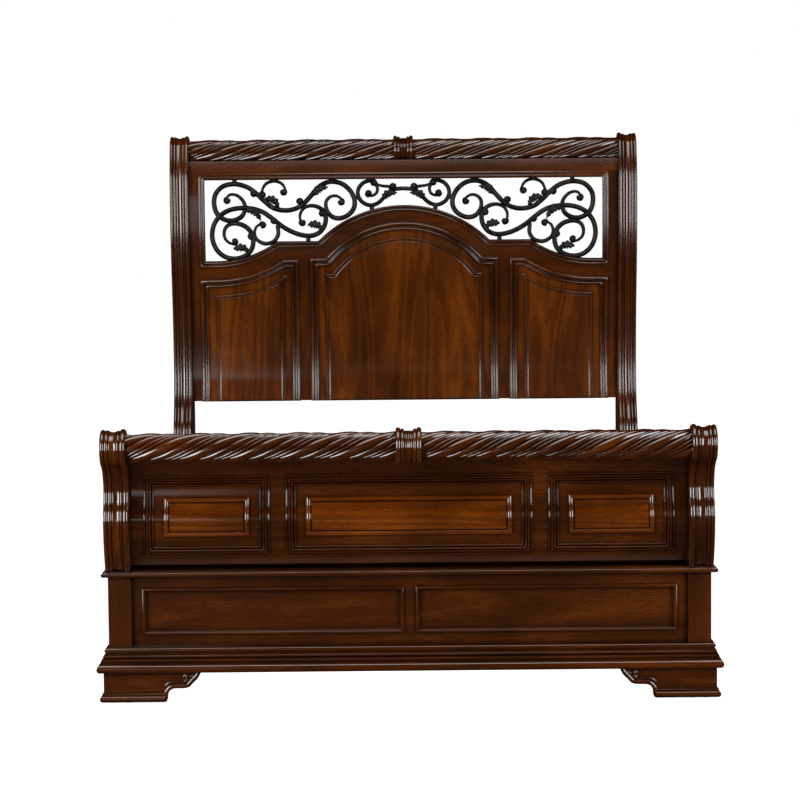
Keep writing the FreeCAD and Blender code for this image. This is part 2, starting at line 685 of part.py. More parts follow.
left_post = head_post().cut(joint_room(rail_back, 1))
feature("head_post_left", left_post)
feature("head_post_right", mirrored(left_post))
head_rope = rope(-INNER, -rope_half, head_roll_y, size.head_roll_height, size.head_rope_lead)
feature("head_rope_left", head_rope)
feature("head_rope_right", rope(rope_half, INNER, head_roll_y, size.head_roll_height, size.head_rope_lead))
collar("head_rope_collar", "bed_length / 2 - head_back_depth + head_roll_depth", "head_roll_height")

top_low = size.opening_top + size.trim_width
top_rail = head_frame.common(window(-INNER, INNER, top_low, size.top_rail_height))
top_rail = top_rail.cut(roll_space(head_roll_y, size.head_roll_height))
feature("head_top_rail", max(top_rail.Solids, key=lambda solid: solid.Volume))
stile = head_frame.common(window(-INNER, -size.side_panel_outer, size.panel_bottom, top_low))
feature("head_stile_left", stile)
feature("head_stile_right", mirrored(stile))

left_window = side_panel(0, size.panel_bottom)
middle_window = centre_panel(0, size.panel_bottom)
mullion_top = size.shoulder_height - size.side_rail_drop
mullion_window = window(-size.side_panel_inner, -size.centre_panel_half, size.panel_bottom, mullion_top)
windows = left_window.multiFuse([mirrored(left_window), middle_window, mullion_window, mirrored(mullion_window)])
arch_region = window(-size.side_panel_outer, size.side_panel_outer, size.panel_bottom, top_low)
arch_region = arch_region.cut(opening(size.trim_width)).cut(windows)
feature("head_arch_rail", head_frame.common(arch_region))
mullion = head_frame.common(mullion_window)
feature("head_mullion_left", mullion)
feature("head_mullion_right", mirrored(mullion))


def head_panel(outline):
    """A panel with a raised field in the middle."""
    board = head_board.common(outline(0, size.panel_bottom))
    return board.fuse(head_field.common(outline(size.head_field_inset, size.panel_bottom))).removeSplitter()


def head_moulding(outline):
    """The moulding up both sides and over the head of a panel; it has no foot."""
    ring = outline(0, size.panel_bottom).cut(outline(size.head_moulding_width, size.panel_bottom - 50))
    return head_band.common(ring)


side = head_panel(side_panel)
side_band = head_moulding(side_panel)
feature("head_panel_left", side)
feature("head_panel_centre", head_panel(centre_panel))
feature("head_panel_right", mirrored(side))
feature("head_moulding_left", side_band)
feature("head_moulding_centre", head_moulding(centre_panel))
feature("head_moulding_right", mirrored(side_band))
grille = iron_grille()
trim = head_trim.common(opening(size.trim_width).cut(opening(0))).cut(grille)
feature("grille_trim", trim)
feature("iron_grille", grille)

batten_low = size.panel_bottom + 12
batten = slab(head_face_curve, HEAD_FACE, frame_back, frame_back + size.batten_thickness, -INNER, INNER)
feature("head_back_batten", batten.common(window(-INNER, INNER, batten_low, batten_low + size.batten_height)))
keep(box_object("head_stretcher",
                ("post_span - 2 * post_thickness", "rail_thickness", "stretcher_height"),
                ("post_thickness - post_span / 2", "bed_length / 2 - head_back_depth", "stretcher_bottom")),
     "head_stretcher")

# ---------------------------------------------------------------- build: footboard

foot_front = foot_curve(LEDGE_TOP - 10)[:-1]
board_front = size.foot_board_setback
foot_roll_y = FOOT_FACE - size.foot_roll_forward
upper_post = foot_post_upper()
feature("foot_post_upper_left", upper_post)
feature("foot_post_upper_right", mirrored(upper_post))
lower_post = block((-OUTER, FOOT_FACE, size.plinth_bottom), (-INNER, rail_front, size.ledge_bottom))
lower_post = lower_post.cut(joint_room(rail_front, -1))
feature("foot_post_lower_left", lower_post)
feature("foot_post_lower_right", mirrored(lower_post))
feature("foot_rope_left", rope(-INNER, -rope_half, foot_roll_y, size.foot_roll_height, size.foot_rope_lead))
feature("foot_rope_right", rope(rope_half, INNER, foot_roll_y, size.foot_roll_height, size.foot_rope_lead))
collar("foot_rope_collar", "foot_roll_radius - bed_length / 2", "foot_roll_height")

upper_board = between(to_edges(foot_front, FOOT_FACE, -INNER, board_front), board_back(), -INNER, INNER)
upper_board = upper_board.common(window(-INNER, INNER, LEDGE_TOP, size.foot_roll_height))
upper_board = upper_board.cut(roll_space(foot_roll_y, size.foot_roll_height))
feature("foot_upper_board", max(upper_board.Solids, key=lambda solid: solid.Volume))
moulding_layer = slab(foot_front, FOOT_FACE, board_front - size.foot_moulding_rise, board_front, -INNER, INNER)
field_layer = slab(foot_front, FOOT_FACE, board_front - size.foot_field_rise, board_front, -INNER, INNER)
for name, low, high in (("left", -size.foot_side_outer, -size.foot_side_inner),
                        ("centre", -size.centre_panel_half, size.centre_panel_half),
                        ("right", size.foot_side_inner, size.foot_side_outer)):
    heights = (size.foot_panel_bottom, size.foot_panel_top)
    ring = window(low, high, *heights).cut(window(low, high, *heights, size.foot_moulding_width))
    feature(f"foot_upper_moulding_{name}", moulding_layer.common(ring))
    inset = size.foot_field_inset
    field_window = window(low + inset, high - inset, heights[0] + inset, heights[1] - size.foot_field_drop)
    feature(f"foot_field_{name}", field_layer.common(field_window))


def origin_plane(body, role):
    """One of a body's own origin planes."""
    return [item for item in body.Origin.OriginFeatures if item.Role == role][0]


def rectangle(body, name, role, width, height, x_formula, y_formula):
    """A fully sized rectangle sketch on an origin plane of the body."""
    sketch = body.newObject("Sketcher::SketchObject", name)
    sketch.AttachmentSupport = [(origin_plane(body, role), "")]
    sketch.MapMode = "FlatFace"
    corners = [Vector(0, 0, 0), Vector(100, 0, 0), Vector(100, 60, 0), Vector(0, 60, 0)]
    for start, end in zip(corners, corners[1:] + corners[:1]):
        sketch.addGeometry(Part.LineSegment(start, end), False)
    for first, second in ((0, 1), (1, 2), (2, 3), (3, 0)):
        sketch.addConstraint(Sketcher.Constraint("Coincident", first, 2, second, 1))
    for line in (0, 2):
        sketch.addConstraint(Sketcher.Constraint("Horizontal", line))
    for line in (1, 3):
        sketch.addConstraint(Sketcher.Constraint("Vertical", line))
    for kind, formula, args in (("DistanceX", width, (0, 1, 0, 2)), ("DistanceY", height, (1, 1, 1, 2)),
                                ("DistanceX", x_formula, (-1, 1, 0, 1)), ("DistanceY", y_formula, (-1, 1, 0, 1))):
        index = sketch.addConstraint(Sketcher.Constraint(kind, *args, 10.0))
        sketch.setExpression(f"Constraints[{index}]", bound(formula))
    return sketch


# The ledge is a plank between the plinth part and the S-shaped part, with a rounded nose.
ledge = doc.addObject("PartDesign::Body", "foot_waist_ledge")
ledge_plan = rectangle(ledge, "ledge_plan", "XY_Plane", "post_span + 2 * ledge_overhang",
                       "foot_post_depth + ledge_overhang", "-post_span / 2 - ledge_overhang",
                       "-ledge_overhang")
ledge_pad = ledge.newObject("PartDesign::Pad", "ledge_pad")
ledge_pad.Profile = ledge_plan
ledge_pad.setExpression("Length", bound("ledge_thickness"))
doc.recompute()
nose = []
for number, edge in enumerate(ledge_pad.Shape.Edges, start=1):
    middle = edge.CenterOfMass
    front = abs(middle.y + size.ledge_overhang) < 0.01
    end = abs(abs(middle.x) - OUTER - size.ledge_overhang) < 0.01
    if abs(edge.tangentAt(edge.FirstParameter).z) < 0.5 and (front or end):
        nose.append(f"Edge{number}")
rounding = ledge.newObject("PartDesign::Fillet", "ledge_nose")
rounding.Base = (ledge_pad, nose)
rounding.setExpression("Radius", bound("ledge_thickness * 0.49"))
ledge.setExpression("Placement.Base.y", bound("foot_roll_forward + foot_roll_radius - bed_length / 2"))
ledge.setExpression("Placement.Base.z", bound("ledge_bottom"))
keep(ledge, "foot_waist_ledge")

# The lower board is one plank with two shallow recesses.
board = doc.addObject("PartDesign::Body", "foot_lower_board")
board_plan = rectangle(board, "lower_board_outline", "XZ_Plane", "post_span - 2 * post_thickness",
                       "ledge_bottom - plinth_top", "post_thickness - post_span / 2", "plinth_top")
board_pad = board.newObject("PartDesign::Pad", "lower_board_pad")
board_pad.Profile = board_plan
board_pad.setExpression("Length", bound("lower_board_thickness"))
doc.recompute()
front_is_low = board_pad.Shape.BoundBox.YMin < -1
board_volume = board_pad.Shape.Volume
for name, left in (("left", "-lower_panel_outer"), ("right", "lower_panel_inner")):
    recess = rectangle(board, f"lower_recess_{name}", "XZ_Plane", "lower_panel_outer - lower_panel_inner",
                       "lower_panel_top - lower_panel_bottom", left, "lower_panel_bottom")
    cut = board.newObject("PartDesign::Pocket", f"lower_pocket_{name}")
    cut.Profile = recess
    cut.Reversed = not front_is_low
    recess.AttachmentOffset = FreeCAD.Placement(Vector(0, 0, 0), Rotation())
    recess.setExpression("AttachmentOffset.Base.z", bound("lower_board_thickness"))
    cut.setExpression("Length", bound("lower_recess"))
    doc.recompute()
    if cut.Shape.Volume > board_volume - 100:
        cut.Reversed = not cut.Reversed
        doc.recompute()
    if cut.Shape.Volume > board_volume - 100:
        raise RuntimeError("a recess of the lower board cuts nothing")
    board_volume = cut.Shape.Volume
board.setExpression("Placement.Base.y", bound(
    "foot_roll_forward + foot_roll_radius - bed_length / 2 + lower_board_setback + lower_board_thickness"))
keep(board, "foot_lower_board")

lower_front = FOOT_FACE + size.lower_board_setback
for name, low, high in (("left", -size.lower_panel_outer, -size.lower_panel_inner),
                        ("right", size.lower_panel_inner, size.lower_panel_outer)):
    heights = (size.lower_panel_bottom, size.lower_panel_top)
    ring = window(low, high, *heights).cut(window(low, high, *heights, size.lower_moulding_width))
    layer = block((low, lower_front - size.lower_moulding_rise, heights[0]),
                  (high, lower_front + size.lower_recess, heights[1]))
    feature(f"foot_lower_moulding_{name}", layer.common(ring))

keep(box_object("foot_bottom_rail",
                ("post_span - 2 * post_thickness", "lower_board_setback + lower_board_thickness",
                 "plinth_top - plinth_bottom"),
                ("post_thickness - post_span / 2", "foot_roll_forward + foot_roll_radius - bed_length / 2",
                 "plinth_bottom")), "foot_bottom_rail")


def plinth_profile():
    """Section of the base moulding: bead, hollow, bead and a deep torus, outwards along -Y."""
    out, low, high = size.plinth_overhang, size.plinth_bottom, size.plinth_top
    height = high - low
    torus, step, hollow, small = 0.32 * height, 0.40 * height, 0.58 * height, 0.72 * height
    x, y = -OUTER, FOOT_FACE

    def at(forward, z):
        return Vector(0, y - forward, z)

    edges = [
        Part.makeLine(at(0, low), at(0.8 * out, low)),
        Part.Arc(at(0.8 * out, low), at(out, low + torus / 2), at(0.8 * out, low + torus)).toShape(),
        Part.makeLine(at(0.8 * out, low + torus), at(0.62 * out, low + torus)),
        Part.Arc(at(0.62 * out, low + torus), at(0.7 * out, (2 * low + torus + step) / 2),
                 at(0.62 * out, low + step)).toShape(),
        Part.Arc(at(0.62 * out, low + step), at(0.36 * out, low + hollow - 3), at(0.3 * out, low + small)).toShape(),
        Part.makeLine(at(0.3 * out, low + small), at(0.42 * out, low + small)),
        Part.Arc(at(0.42 * out, low + small), at(0.55 * out, (low + small + high) / 2),
                 at(0.42 * out, high)).toShape(),
        Part.makeLine(at(0.42 * out, high), at(0, high)),
        Part.makeLine(at(0, high), at(0, low)),
    ]
    return Part.Wire(edges)


def plan_prism(points):
    """A vertical prism over an outline in X and Y."""
    corners = [Vector(x, y, -10) for x, y in points]
    return Part.Face(Part.makePolygon(corners + corners[:1])).extrude(Vector(0, 0, 600))


def mitred_run(profile):
    """The front length and both side returns of a moulding, joined at 45 degree mitres."""
    face = Part.Face(profile)
    spare = 90
    front = face.copy()
    front.translate(Vector(-OUTER - spare, 0, 0))
    front = front.extrude(Vector(2 * (OUTER + spare), 0, 0))
    front = front.common(plan_prism([(-OUTER, FOOT_FACE), (-OUTER - spare, FOOT_FACE - spare),
                                     (OUTER + spare, FOOT_FACE - spare), (OUTER, FOOT_FACE)]))
    turned = face.copy()
    turned.rotate(Vector(0, FOOT_FACE, 0), Vector(0, 0, 1), -90)
    turned.translate(Vector(-OUTER, -spare, 0))
    run = turned.extrude(Vector(0, size.foot_post_depth + spare, 0))
    run = run.common(plan_prism([(-OUTER, FOOT_FACE), (-OUTER - spare, FOOT_FACE - spare),
                                 (-OUTER - spare, rail_front), (-OUTER, rail_front)]))
    return front.multiFuse([run, mirrored(run)]).removeSplitter()


feature("foot_base_moulding", mitred_run(plinth_profile()))


def bracket():
    """The left bracket foot: a scrolled front, a plain side return, a corner block and a base bead."""
    low, high = size.glide_height, size.plinth_bottom
    outer, front = -OUTER - size.bracket_overhang, FOOT_FACE - size.bracket_overhang
    bead = low + size.bead_height
    end = outer + size.bracket_length
    toe = outer + size.bead_length
    step = (high - bead) * 0.32
    knee, nose = toe + step, end - 38
    outline = prism([
        (outer, low), (toe, low), (toe, bead),
        ((toe + 0.3 * step, bead + 0.72 * step), (knee, bead + step)),
        (nose, bead + step + 4),
        ((end - 14, bead + step + 14), (end, high)),
        (outer, high),
    ])
    thick = size.bracket_thickness
    face = block((outer, front, low), (end, front + thick, high)).common(outline)
    back = rail_front
    flank = block((outer, front, low), (outer + thick, back, high))
    corner = block((outer + thick, front + thick, low), (-INNER, back, high))
    reach = size.bead_overhang
    ridge = block((outer - reach, front - reach, low), (toe, front, bead))
    ridge = ridge.fuse(block((outer - reach, front, low), (outer, back, bead)))
    rounded = ridge.removeSplitter()
    edges = [edge for edge in rounded.Edges
             if abs(edge.CenterOfMass.z - bead) < 0.01
             and (abs(edge.CenterOfMass.y - front + reach) < 0.01 or abs(edge.CenterOfMass.x - outer + reach) < 0.01)]
    rounded = rounded.makeFillet(reach * 0.8, edges)
    return face.multiFuse([flank, corner, rounded]).removeSplitter()


foot = bracket()
feature("foot_bracket_left", foot)
feature("foot_bracket_right", mirrored(foot))

glides = []
margin = 30
for x in (-OUTER - size.bracket_overhang + margin, -INNER - 14):
    for y in (FOOT_FACE + 10, rail_front - 20):
        glides.append((x, y))
glides.append((-INNER - size.post_thickness / 2, HEAD_FACE + 20))
discs = [Part.makeCylinder(size.glide_radius, size.glide_height, Vector(x, y, 0)) for x, y in glides]
feature("floor_glides", Part.makeCompound(discs + [mirrored(item) for item in discs]))

# ---------------------------------------------------------------- build: rails, slats and supports

rail_length = ("bed_length - head_back_depth - head_leg_forward"
               " - foot_roll_forward - foot_roll_radius - foot_post_depth")
rail_start = "foot_roll_forward + foot_roll_radius - bed_length / 2 + foot_post_depth"
hooks = [hook(rail_front, -1), hook(rail_back, 1)]
hooks += [mirrored(item) for item in hooks]
rail_beds = doc.addObject("Part::Feature", "hook_beds")
rail_beds.Shape = Part.makeCompound([plate(rail_front, 1), plate(rail_back, -1),
                                     mirrored(plate(rail_front, 1)), mirrored(plate(rail_back, -1))])
for name, corner_x in (("left", "post_thickness - post_span / 2 - rail_thickness"),
                       ("right", "post_span / 2 - post_thickness")):
    blank = box_object(f"rail_blank_{name}", ("rail_thickness", rail_length, "rail_height"),
                       (corner_x, rail_start, "rail_bottom"))
    rail = doc.addObject("Part::Cut", f"side_rail_{name}")
    rail.Base, rail.Tool = blank, rail_beds
    keep(rail, f"side_rail_{name}")
for name, corner_x in (("left", "post_thickness - post_span / 2"),
                       ("right", "post_span / 2 - post_thickness - cleat_size")):
    keep(box_object(f"rail_cleat_{name}", ("cleat_size", rail_length, "cleat_size"),
                    (corner_x, rail_start, "slat_bottom - cleat_size")), f"rail_cleat_{name}")
feature("rail_hooks", Part.makeCompound(hooks))
strikes = [strike(rail_front, -1), strike(rail_back, 1)]
feature("strike_plates", Part.makeCompound(strikes + [mirrored(item) for item in strikes]))

rail_middle = (rail_front + rail_back) / 2
middle_formula = f"({rail_start}) + ({rail_length}) / 2"
screws = []
screw_low = size.slat_bottom + size.slat_thickness - size.screw_length
for number, step in enumerate((-1, 0, 1), start=1):
    slat = box_object(f"slat_blank_{number}", ("post_span - 2 * post_thickness - 4 * fit_gap", "slat_width",
                                               "slat_thickness"),
                      ("post_thickness - post_span / 2 + 2 * fit_gap",
                       f"{middle_formula} - slat_width / 2 + ({step}) * slat_pitch", "slat_bottom"))
    y = rail_middle + step * size.slat_pitch
    for x in (-INNER + size.cleat_size / 2, INNER - size.cleat_size / 2):
        shank = Part.makeCylinder(size.screw_radius, size.screw_length, Vector(x, y, screw_low))
        cone = Part.makeCone(size.screw_radius, size.screw_head_radius, 3,
                             Vector(x, y, size.slat_bottom + size.slat_thickness - 3))
        screws.append(shank.fuse(cone).removeSplitter())
    screw_room = doc.addObject("Part::Feature", f"screw_room_{number}")
    screw_room.Shape = Part.makeCompound(screws[-2:])
    pierced = doc.addObject("Part::Cut", f"slat_{number}")
    pierced.Base, pierced.Tool = slat, screw_room
    keep(pierced, f"slat_{number}")

    leg = doc.addObject("PartDesign::Body", f"centre_leg_{number}")
    plan = rectangle(leg, f"leg_plan_{number}", "XY_Plane", "leg_size", "leg_size", "-leg_size / 2",
                     "-leg_size / 2")
    pad = leg.newObject("PartDesign::Pad", f"leg_pad_{number}")
    pad.Profile = plan
    pad.setExpression("Length", bound("slat_bottom - leg_bottom"))
    bore_plan = leg.newObject("Sketcher::SketchObject", f"bore_plan_{number}")
    bore_plan.AttachmentSupport = [(origin_plane(leg, "XY_Plane"), "")]
    bore_plan.MapMode = "FlatFace"
    bore_plan.addGeometry(Part.Circle(Vector(0, 0, 0), Vector(0, 0, 1), 5), False)
    bore_plan.addConstraint(Sketcher.Constraint("Coincident", 0, 3, -1, 1))
    index = bore_plan.addConstraint(Sketcher.Constraint("Radius", 0, 5.0))
    bore_plan.setExpression(f"Constraints[{index}]", bound("thread_radius + fit_gap"))
    doc.recompute()
    whole = pad.Shape.Volume
    bore = leg.newObject("PartDesign::Pocket", f"leg_bore_{number}")
    bore.Profile = bore_plan
    bore.Reversed = True
    bore.setExpression("Length", bound("bore_depth"))
    doc.recompute()
    if bore.Shape.Volume > whole - 100:
        raise RuntimeError("the bore of a centre leg cuts nothing")
    leg.setExpression("Placement.Base.y", bound(f"{middle_formula} + ({step}) * slat_pitch"))
    leg.setExpression("Placement.Base.z", bound("leg_bottom"))
    keep(leg, f"centre_leg_{number}")

    foot_disc = doc.addObject("Part::Cylinder", f"leveller_disc_{number}")
    foot_disc.setExpression("Radius", bound("leveller_radius"))
    foot_disc.setExpression("Height", bound("leveller_height"))
    stem = doc.addObject("Part::Cylinder", f"leveller_stem_{number}")
    stem.setExpression("Radius", bound("thread_radius"))
    stem.setExpression("Height", bound("stem_top"))
    for item in (foot_disc, stem):
        item.setExpression("Placement.Base.y", bound(f"{middle_formula} + ({step}) * slat_pitch"))
    leveller = doc.addObject("Part::MultiFuse", f"leveller_{number}")
    leveller.Shapes = [foot_disc, stem]
    keep(leveller, f"leveller_{number}")

screw_cuts = Part.makeCompound(screws)
feature("slat_screws", screw_cuts)
doc.recompute()
for item in list(exported):
    if item.Label.startswith("rail_cleat"):
        pierced = doc.addObject("Part::Cut", item.Label + "_pierced")
        room = doc.addObject("Part::Feature", item.Label + "_room")
        room.Shape = screw_cuts
        pierced.Base, pierced.Tool = item, room
        label = item.Label
        item.Label = label + "_blank"
        exported.remove(item)
        keep(pierced, label)

# ---------------------------------------------------------------- check and export

doc.recompute()
for item in doc.Objects:
    if "Invalid" in item.State or "Error" in item.State:
        raise RuntimeError(f"{item.Label} did not rebuild: {item.State}")
for item in exported:
    shape = item.Shape
    if shape.isNull() or not shape.isValid():
        raise RuntimeError(f"{item.Label} has no valid shape")
for item in exported:
    item.Shape.exportStep(os.path.join("parts", item.Label + ".step"))
print(len(exported), "parts")
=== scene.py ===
"""Queen-size sleigh bed: dark cherry S-curved ends with rope rolls, raised panels and an iron grille.

Everything is in metres in the row frame: X across the bed, +Y to the headboard, Z up.
"""
import json
import logging
import math
from dataclasses import dataclass, field
from enum import Enum
from typing import Callable, Iterable, Sequence

import bpy
from mathutils import Matrix, Vector


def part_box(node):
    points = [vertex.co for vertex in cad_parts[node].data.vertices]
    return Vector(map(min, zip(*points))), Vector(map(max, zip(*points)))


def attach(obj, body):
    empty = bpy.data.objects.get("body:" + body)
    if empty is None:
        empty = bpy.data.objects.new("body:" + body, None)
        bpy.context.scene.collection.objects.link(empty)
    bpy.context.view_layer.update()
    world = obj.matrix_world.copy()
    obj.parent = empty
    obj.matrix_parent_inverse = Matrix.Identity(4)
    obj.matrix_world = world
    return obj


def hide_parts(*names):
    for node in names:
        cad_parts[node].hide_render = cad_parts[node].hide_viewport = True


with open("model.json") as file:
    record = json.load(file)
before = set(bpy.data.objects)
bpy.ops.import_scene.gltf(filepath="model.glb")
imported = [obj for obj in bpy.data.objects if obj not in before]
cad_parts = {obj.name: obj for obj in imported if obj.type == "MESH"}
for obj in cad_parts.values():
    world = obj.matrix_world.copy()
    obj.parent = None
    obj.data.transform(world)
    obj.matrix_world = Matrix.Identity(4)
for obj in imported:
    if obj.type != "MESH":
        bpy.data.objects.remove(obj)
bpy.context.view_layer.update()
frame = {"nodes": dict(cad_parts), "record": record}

log = logging.getLogger("sleigh_bed")
Pair = tuple[float, float]
Triple = tuple[float, float, float]
BODY = "bed"


# ------------------------------------------------------------------ node and mesh helpers

def linear(code: str) -> tuple[float, float, float, float]:
    """Turns an sRGB hex colour into linear RGBA.

    Args:
        code: the colour as "#rrggbb".

    Returns:
        Linear red, green, blue and an alpha of one.
    """
    parts = [int(code[i:i + 2], 16) / 255 for i in (1, 3, 5)]
    red, green, blue = (p / 12.92 if p <= 0.04045 else ((p + 0.055) / 1.055) ** 2.4 for p in parts)
    return red, green, blue, 1.0


def add(tree: bpy.types.NodeTree, kind: str, inputs: dict | None = None, **settings) -> bpy.types.Node:
    """Adds a node with its settings and links.

    Args:
        tree: the node tree that it joins.
        kind: the node's type name.
        inputs: socket name or number to a value, or to another node's output socket.
        settings: the node's own properties.

    Returns:
        The new node.
    """
    made = tree.nodes.new(kind)
    for name, value in settings.items():
        setattr(made, name, value)
    for key, value in (inputs or {}).items():
        if isinstance(value, bpy.types.NodeSocket):
            tree.links.new(value, made.inputs[key])
        else:
            made.inputs[key].default_value = value
    return made


def ramp(tree: bpy.types.NodeTree, factor: bpy.types.NodeSocket,
         stops: Sequence[tuple[float, str]]) -> bpy.types.NodeSocket:
    """A colour ramp.

    Args:
        tree: the node tree.
        factor: what drives it.
        stops: (place, "#rrggbb") pairs from low to high.

    Returns:
        The ramp's colour socket.
    """
    made = add(tree, "ShaderNodeValToRGB", {0: factor})
    band = made.color_ramp
    while len(band.elements) < len(stops):
        band.elements.new(0.5)
    for element, (place, colour) in zip(band.elements, stops):
        element.position = place
        element.color = linear(colour)
    return made.outputs["Color"]


def maths(tree: bpy.types.NodeTree, operation: str,
          *values: float | bpy.types.NodeSocket) -> bpy.types.NodeSocket:
    """The result of a Math node on up to three values."""
    return add(tree, "ShaderNodeMath", dict(enumerate(values)), operation=operation).outputs[0]


def remap(tree: bpy.types.NodeTree, value: bpy.types.NodeSocket, source: Pair,
          target: Pair) -> bpy.types.NodeSocket:
    """A value moved from one range to another, and kept inside it."""
    return add(tree, "ShaderNodeMapRange", dict(enumerate((value, *source, *target)))).outputs[0]


def noise(tree: bpy.types.NodeTree, place: bpy.types.NodeSocket, scale: float, detail: float,
          rough: float = 0.5, wander: float = 0.0, along: float = 1.0) -> bpy.types.NodeSocket:
    """Noise in object space.

    Args:
        tree: the node tree.
        place: the coordinates.
        scale: how many features there are in a metre.
        detail: the number of finer layers.
        rough: how strong those layers are.
        wander: how far the pattern is distorted.
        along: the scale's share along X, small where the pattern is drawn out along the grain.

    Returns:
        The noise's value socket.
    """
    if along != 1.0:
        place = add(tree, "ShaderNodeMapping", {"Vector": place, "Scale": (along, 1.0, 1.0)}).outputs[0]
    return add(tree, "ShaderNodeTexNoise", {"Vector": place, "Scale": scale, "Detail": detail,
                                            "Roughness": rough, "Distortion": wander}).outputs[0]


def mix_colours(tree: bpy.types.NodeTree, share: bpy.types.NodeSocket, under: bpy.types.NodeSocket,
                over: str) -> bpy.types.NodeSocket:
    """A colour with another, given as "#rrggbb", laid over it by a share."""
    return add(tree, "ShaderNodeMix", {0: share, 6: under, 7: linear(over)}, data_type="RGBA").outputs[2]


def openness(tree: bpy.types.NodeTree, reach: float) -> bpy.types.NodeSocket:
    """How open the surface is within reach: one on faces, low in grooves and corners."""
    return add(tree, "ShaderNodeAmbientOcclusion", {"Distance": reach}, samples=6).outputs["AO"]


def blank_material(name: str) -> tuple[bpy.types.Material, bpy.types.NodeTree, bpy.types.NodeSocket]:
    """An empty node material.

    Args:
        name: the finish's name.

    Returns:
        The material, its node tree and its object coordinates.
    """
    material = bpy.data.materials.new(name)
    material.use_nodes = True
    tree = material.node_tree
    tree.nodes.clear()
    return material, tree, add(tree, "ShaderNodeTexCoord").outputs["Object"]


def bumps(tree: bpy.types.NodeTree, height: bpy.types.NodeSocket, strength: float,
          distance: float) -> bpy.types.NodeSocket:
    """A surface normal with small relief, its distance in metres."""
    inputs = {"Height": height, "Strength": strength, "Distance": distance}
    return add(tree, "ShaderNodeBump", inputs).outputs[0]


def finish_off(tree: bpy.types.NodeTree, inputs: dict) -> None:
    """Ends a tree in one Principled shader with these inputs."""
    shader = add(tree, "ShaderNodeBsdfPrincipled", inputs)
    add(tree, "ShaderNodeOutputMaterial", {"Surface": shader.outputs[0]})


def deselect() -> None:
    """Leaves edit mode and clears the selection."""
    if bpy.context.object and bpy.context.object.mode != "OBJECT":
        bpy.ops.object.mode_set(mode="OBJECT")
    bpy.ops.object.select_all(action="DESELECT")


def pick(thing: bpy.types.Object) -> None:
    """Makes one object selected and active."""
    deselect()
    thing.select_set(True)
    bpy.context.view_layer.objects.active = thing


def edit_all(*steps: Callable[[], object]) -> None:
    """Runs edit-mode steps on the whole active mesh.

    Args:
        steps: functions called in order with everything selected.
    """
    bpy.ops.object.mode_set(mode="EDIT")
    for step in steps:
        bpy.ops.mesh.select_all(action="SELECT")
        step()
    bpy.ops.object.mode_set(mode="OBJECT")


def smooth(thing: bpy.types.Object, angle: float = 32.0) -> None:
    """Shades a piece smooth below an angle in degrees."""
    pick(thing)
    bpy.ops.object.shade_smooth_by_angle(angle=math.radians(angle))


def loft(name: str, rows: Sequence[Sequence[Triple]], round_row: bool = True, close: bool = True,
         angle: float = 32.0) -> bpy.types.Object:
    """Shapes a grid into a skin through rows of points, and closes it.

    Args:
        name: the piece's name.
        rows: rows with the same number of points each.
        round_row: True if each row is a closed loop.
        close: True to fill the holes that are left with flat faces.
        angle: the smoothing angle in degrees.

    Returns:
        The new object.
    """
    rows = [list(row) + ([row[0]] if round_row else []) for row in rows]
    across, along = len(rows[0]), len(rows)
    deselect()
    bpy.ops.mesh.primitive_grid_add(x_subdivisions=across - 1, y_subdivisions=along - 1, size=1)
    thing = bpy.context.object
    thing.name = thing.data.name = name
    thing.data.vertices.foreach_set("co", [value for row in rows for point in row for value in point])
    steps: list[Callable[[], object]] = [lambda: bpy.ops.mesh.remove_doubles(threshold=1e-6)]
    if close:
        steps.append(lambda: bpy.ops.mesh.fill_holes(sides=0))
    steps.append(lambda: bpy.ops.mesh.normals_make_consistent(inside=False))
    edit_all(*steps)
    smooth(thing, angle)
    return thing


def slice_heights(thing: bpy.types.Object, low: float, high: float, step: float) -> None:
    """Cuts a flat piece across at even heights so that it can follow a curve.

    Args:
        thing: the mesh object.
        low: the lowest height in metres.
        high: the highest height.
        step: the spacing of the cuts.
    """
    pick(thing)
    count = max(1, round((high - low) / step))
    bpy.ops.object.mode_set(mode="EDIT")
    for index in range(1, count):
        bpy.ops.mesh.select_all(action="SELECT")
        bpy.ops.mesh.bisect(plane_co=(0, 0, low + (high - low) * index / count), plane_no=(0, 0, 1))
    bpy.ops.object.mode_set(mode="OBJECT")


def block(name: str, low: Triple, high: Triple, ease: float = 0.002) -> bpy.types.Object:
    """A planed board with eased edges.

    Args:
        name: the piece's name.
        low: its lowest corner.
        high: its highest corner.
        ease: how far the edges are rounded.

    Returns:
        The new object.
    """
    deselect()
    bpy.ops.mesh.primitive_cube_add(size=1)
    thing = bpy.context.object
    thing.name = thing.data.name = name
    centre = [(a + b) / 2 for a, b in zip(low, high)]
    for vertex in thing.data.vertices:
        vertex.co = [c + v * (b - a) for c, v, a, b in zip(centre, vertex.co, low, high)]
    edit_all(lambda: bpy.ops.mesh.bevel(offset=ease, segments=3, affect="EDGES"))
    smooth(thing)
    return thing


def join(name: str, things: Sequence[bpy.types.Object]) -> bpy.types.Object:
    """Joins several meshes into one piece."""
    pick(things[0])
    for thing in things:
        thing.select_set(True)
    bpy.ops.object.join()
    joined = bpy.context.object
    joined.name = joined.data.name = name
    return joined


def mirror_copy(thing: bpy.types.Object, name: str) -> bpy.types.Object:
    """The same piece for the other side of the bed, with its own mesh.

    Args:
        thing: the piece to mirror in X.
        name: the copy's name.

    Returns:
        The copy.
    """
    pick(thing)
    bpy.ops.object.duplicate()
    copy = bpy.context.object
    copy.name = copy.data.name = name
    for vertex in copy.data.vertices:
        vertex.co.x = -vertex.co.x
    edit_all(bpy.ops.mesh.flip_normals)
    return copy


# ------------------------------------------------------------------ finishes

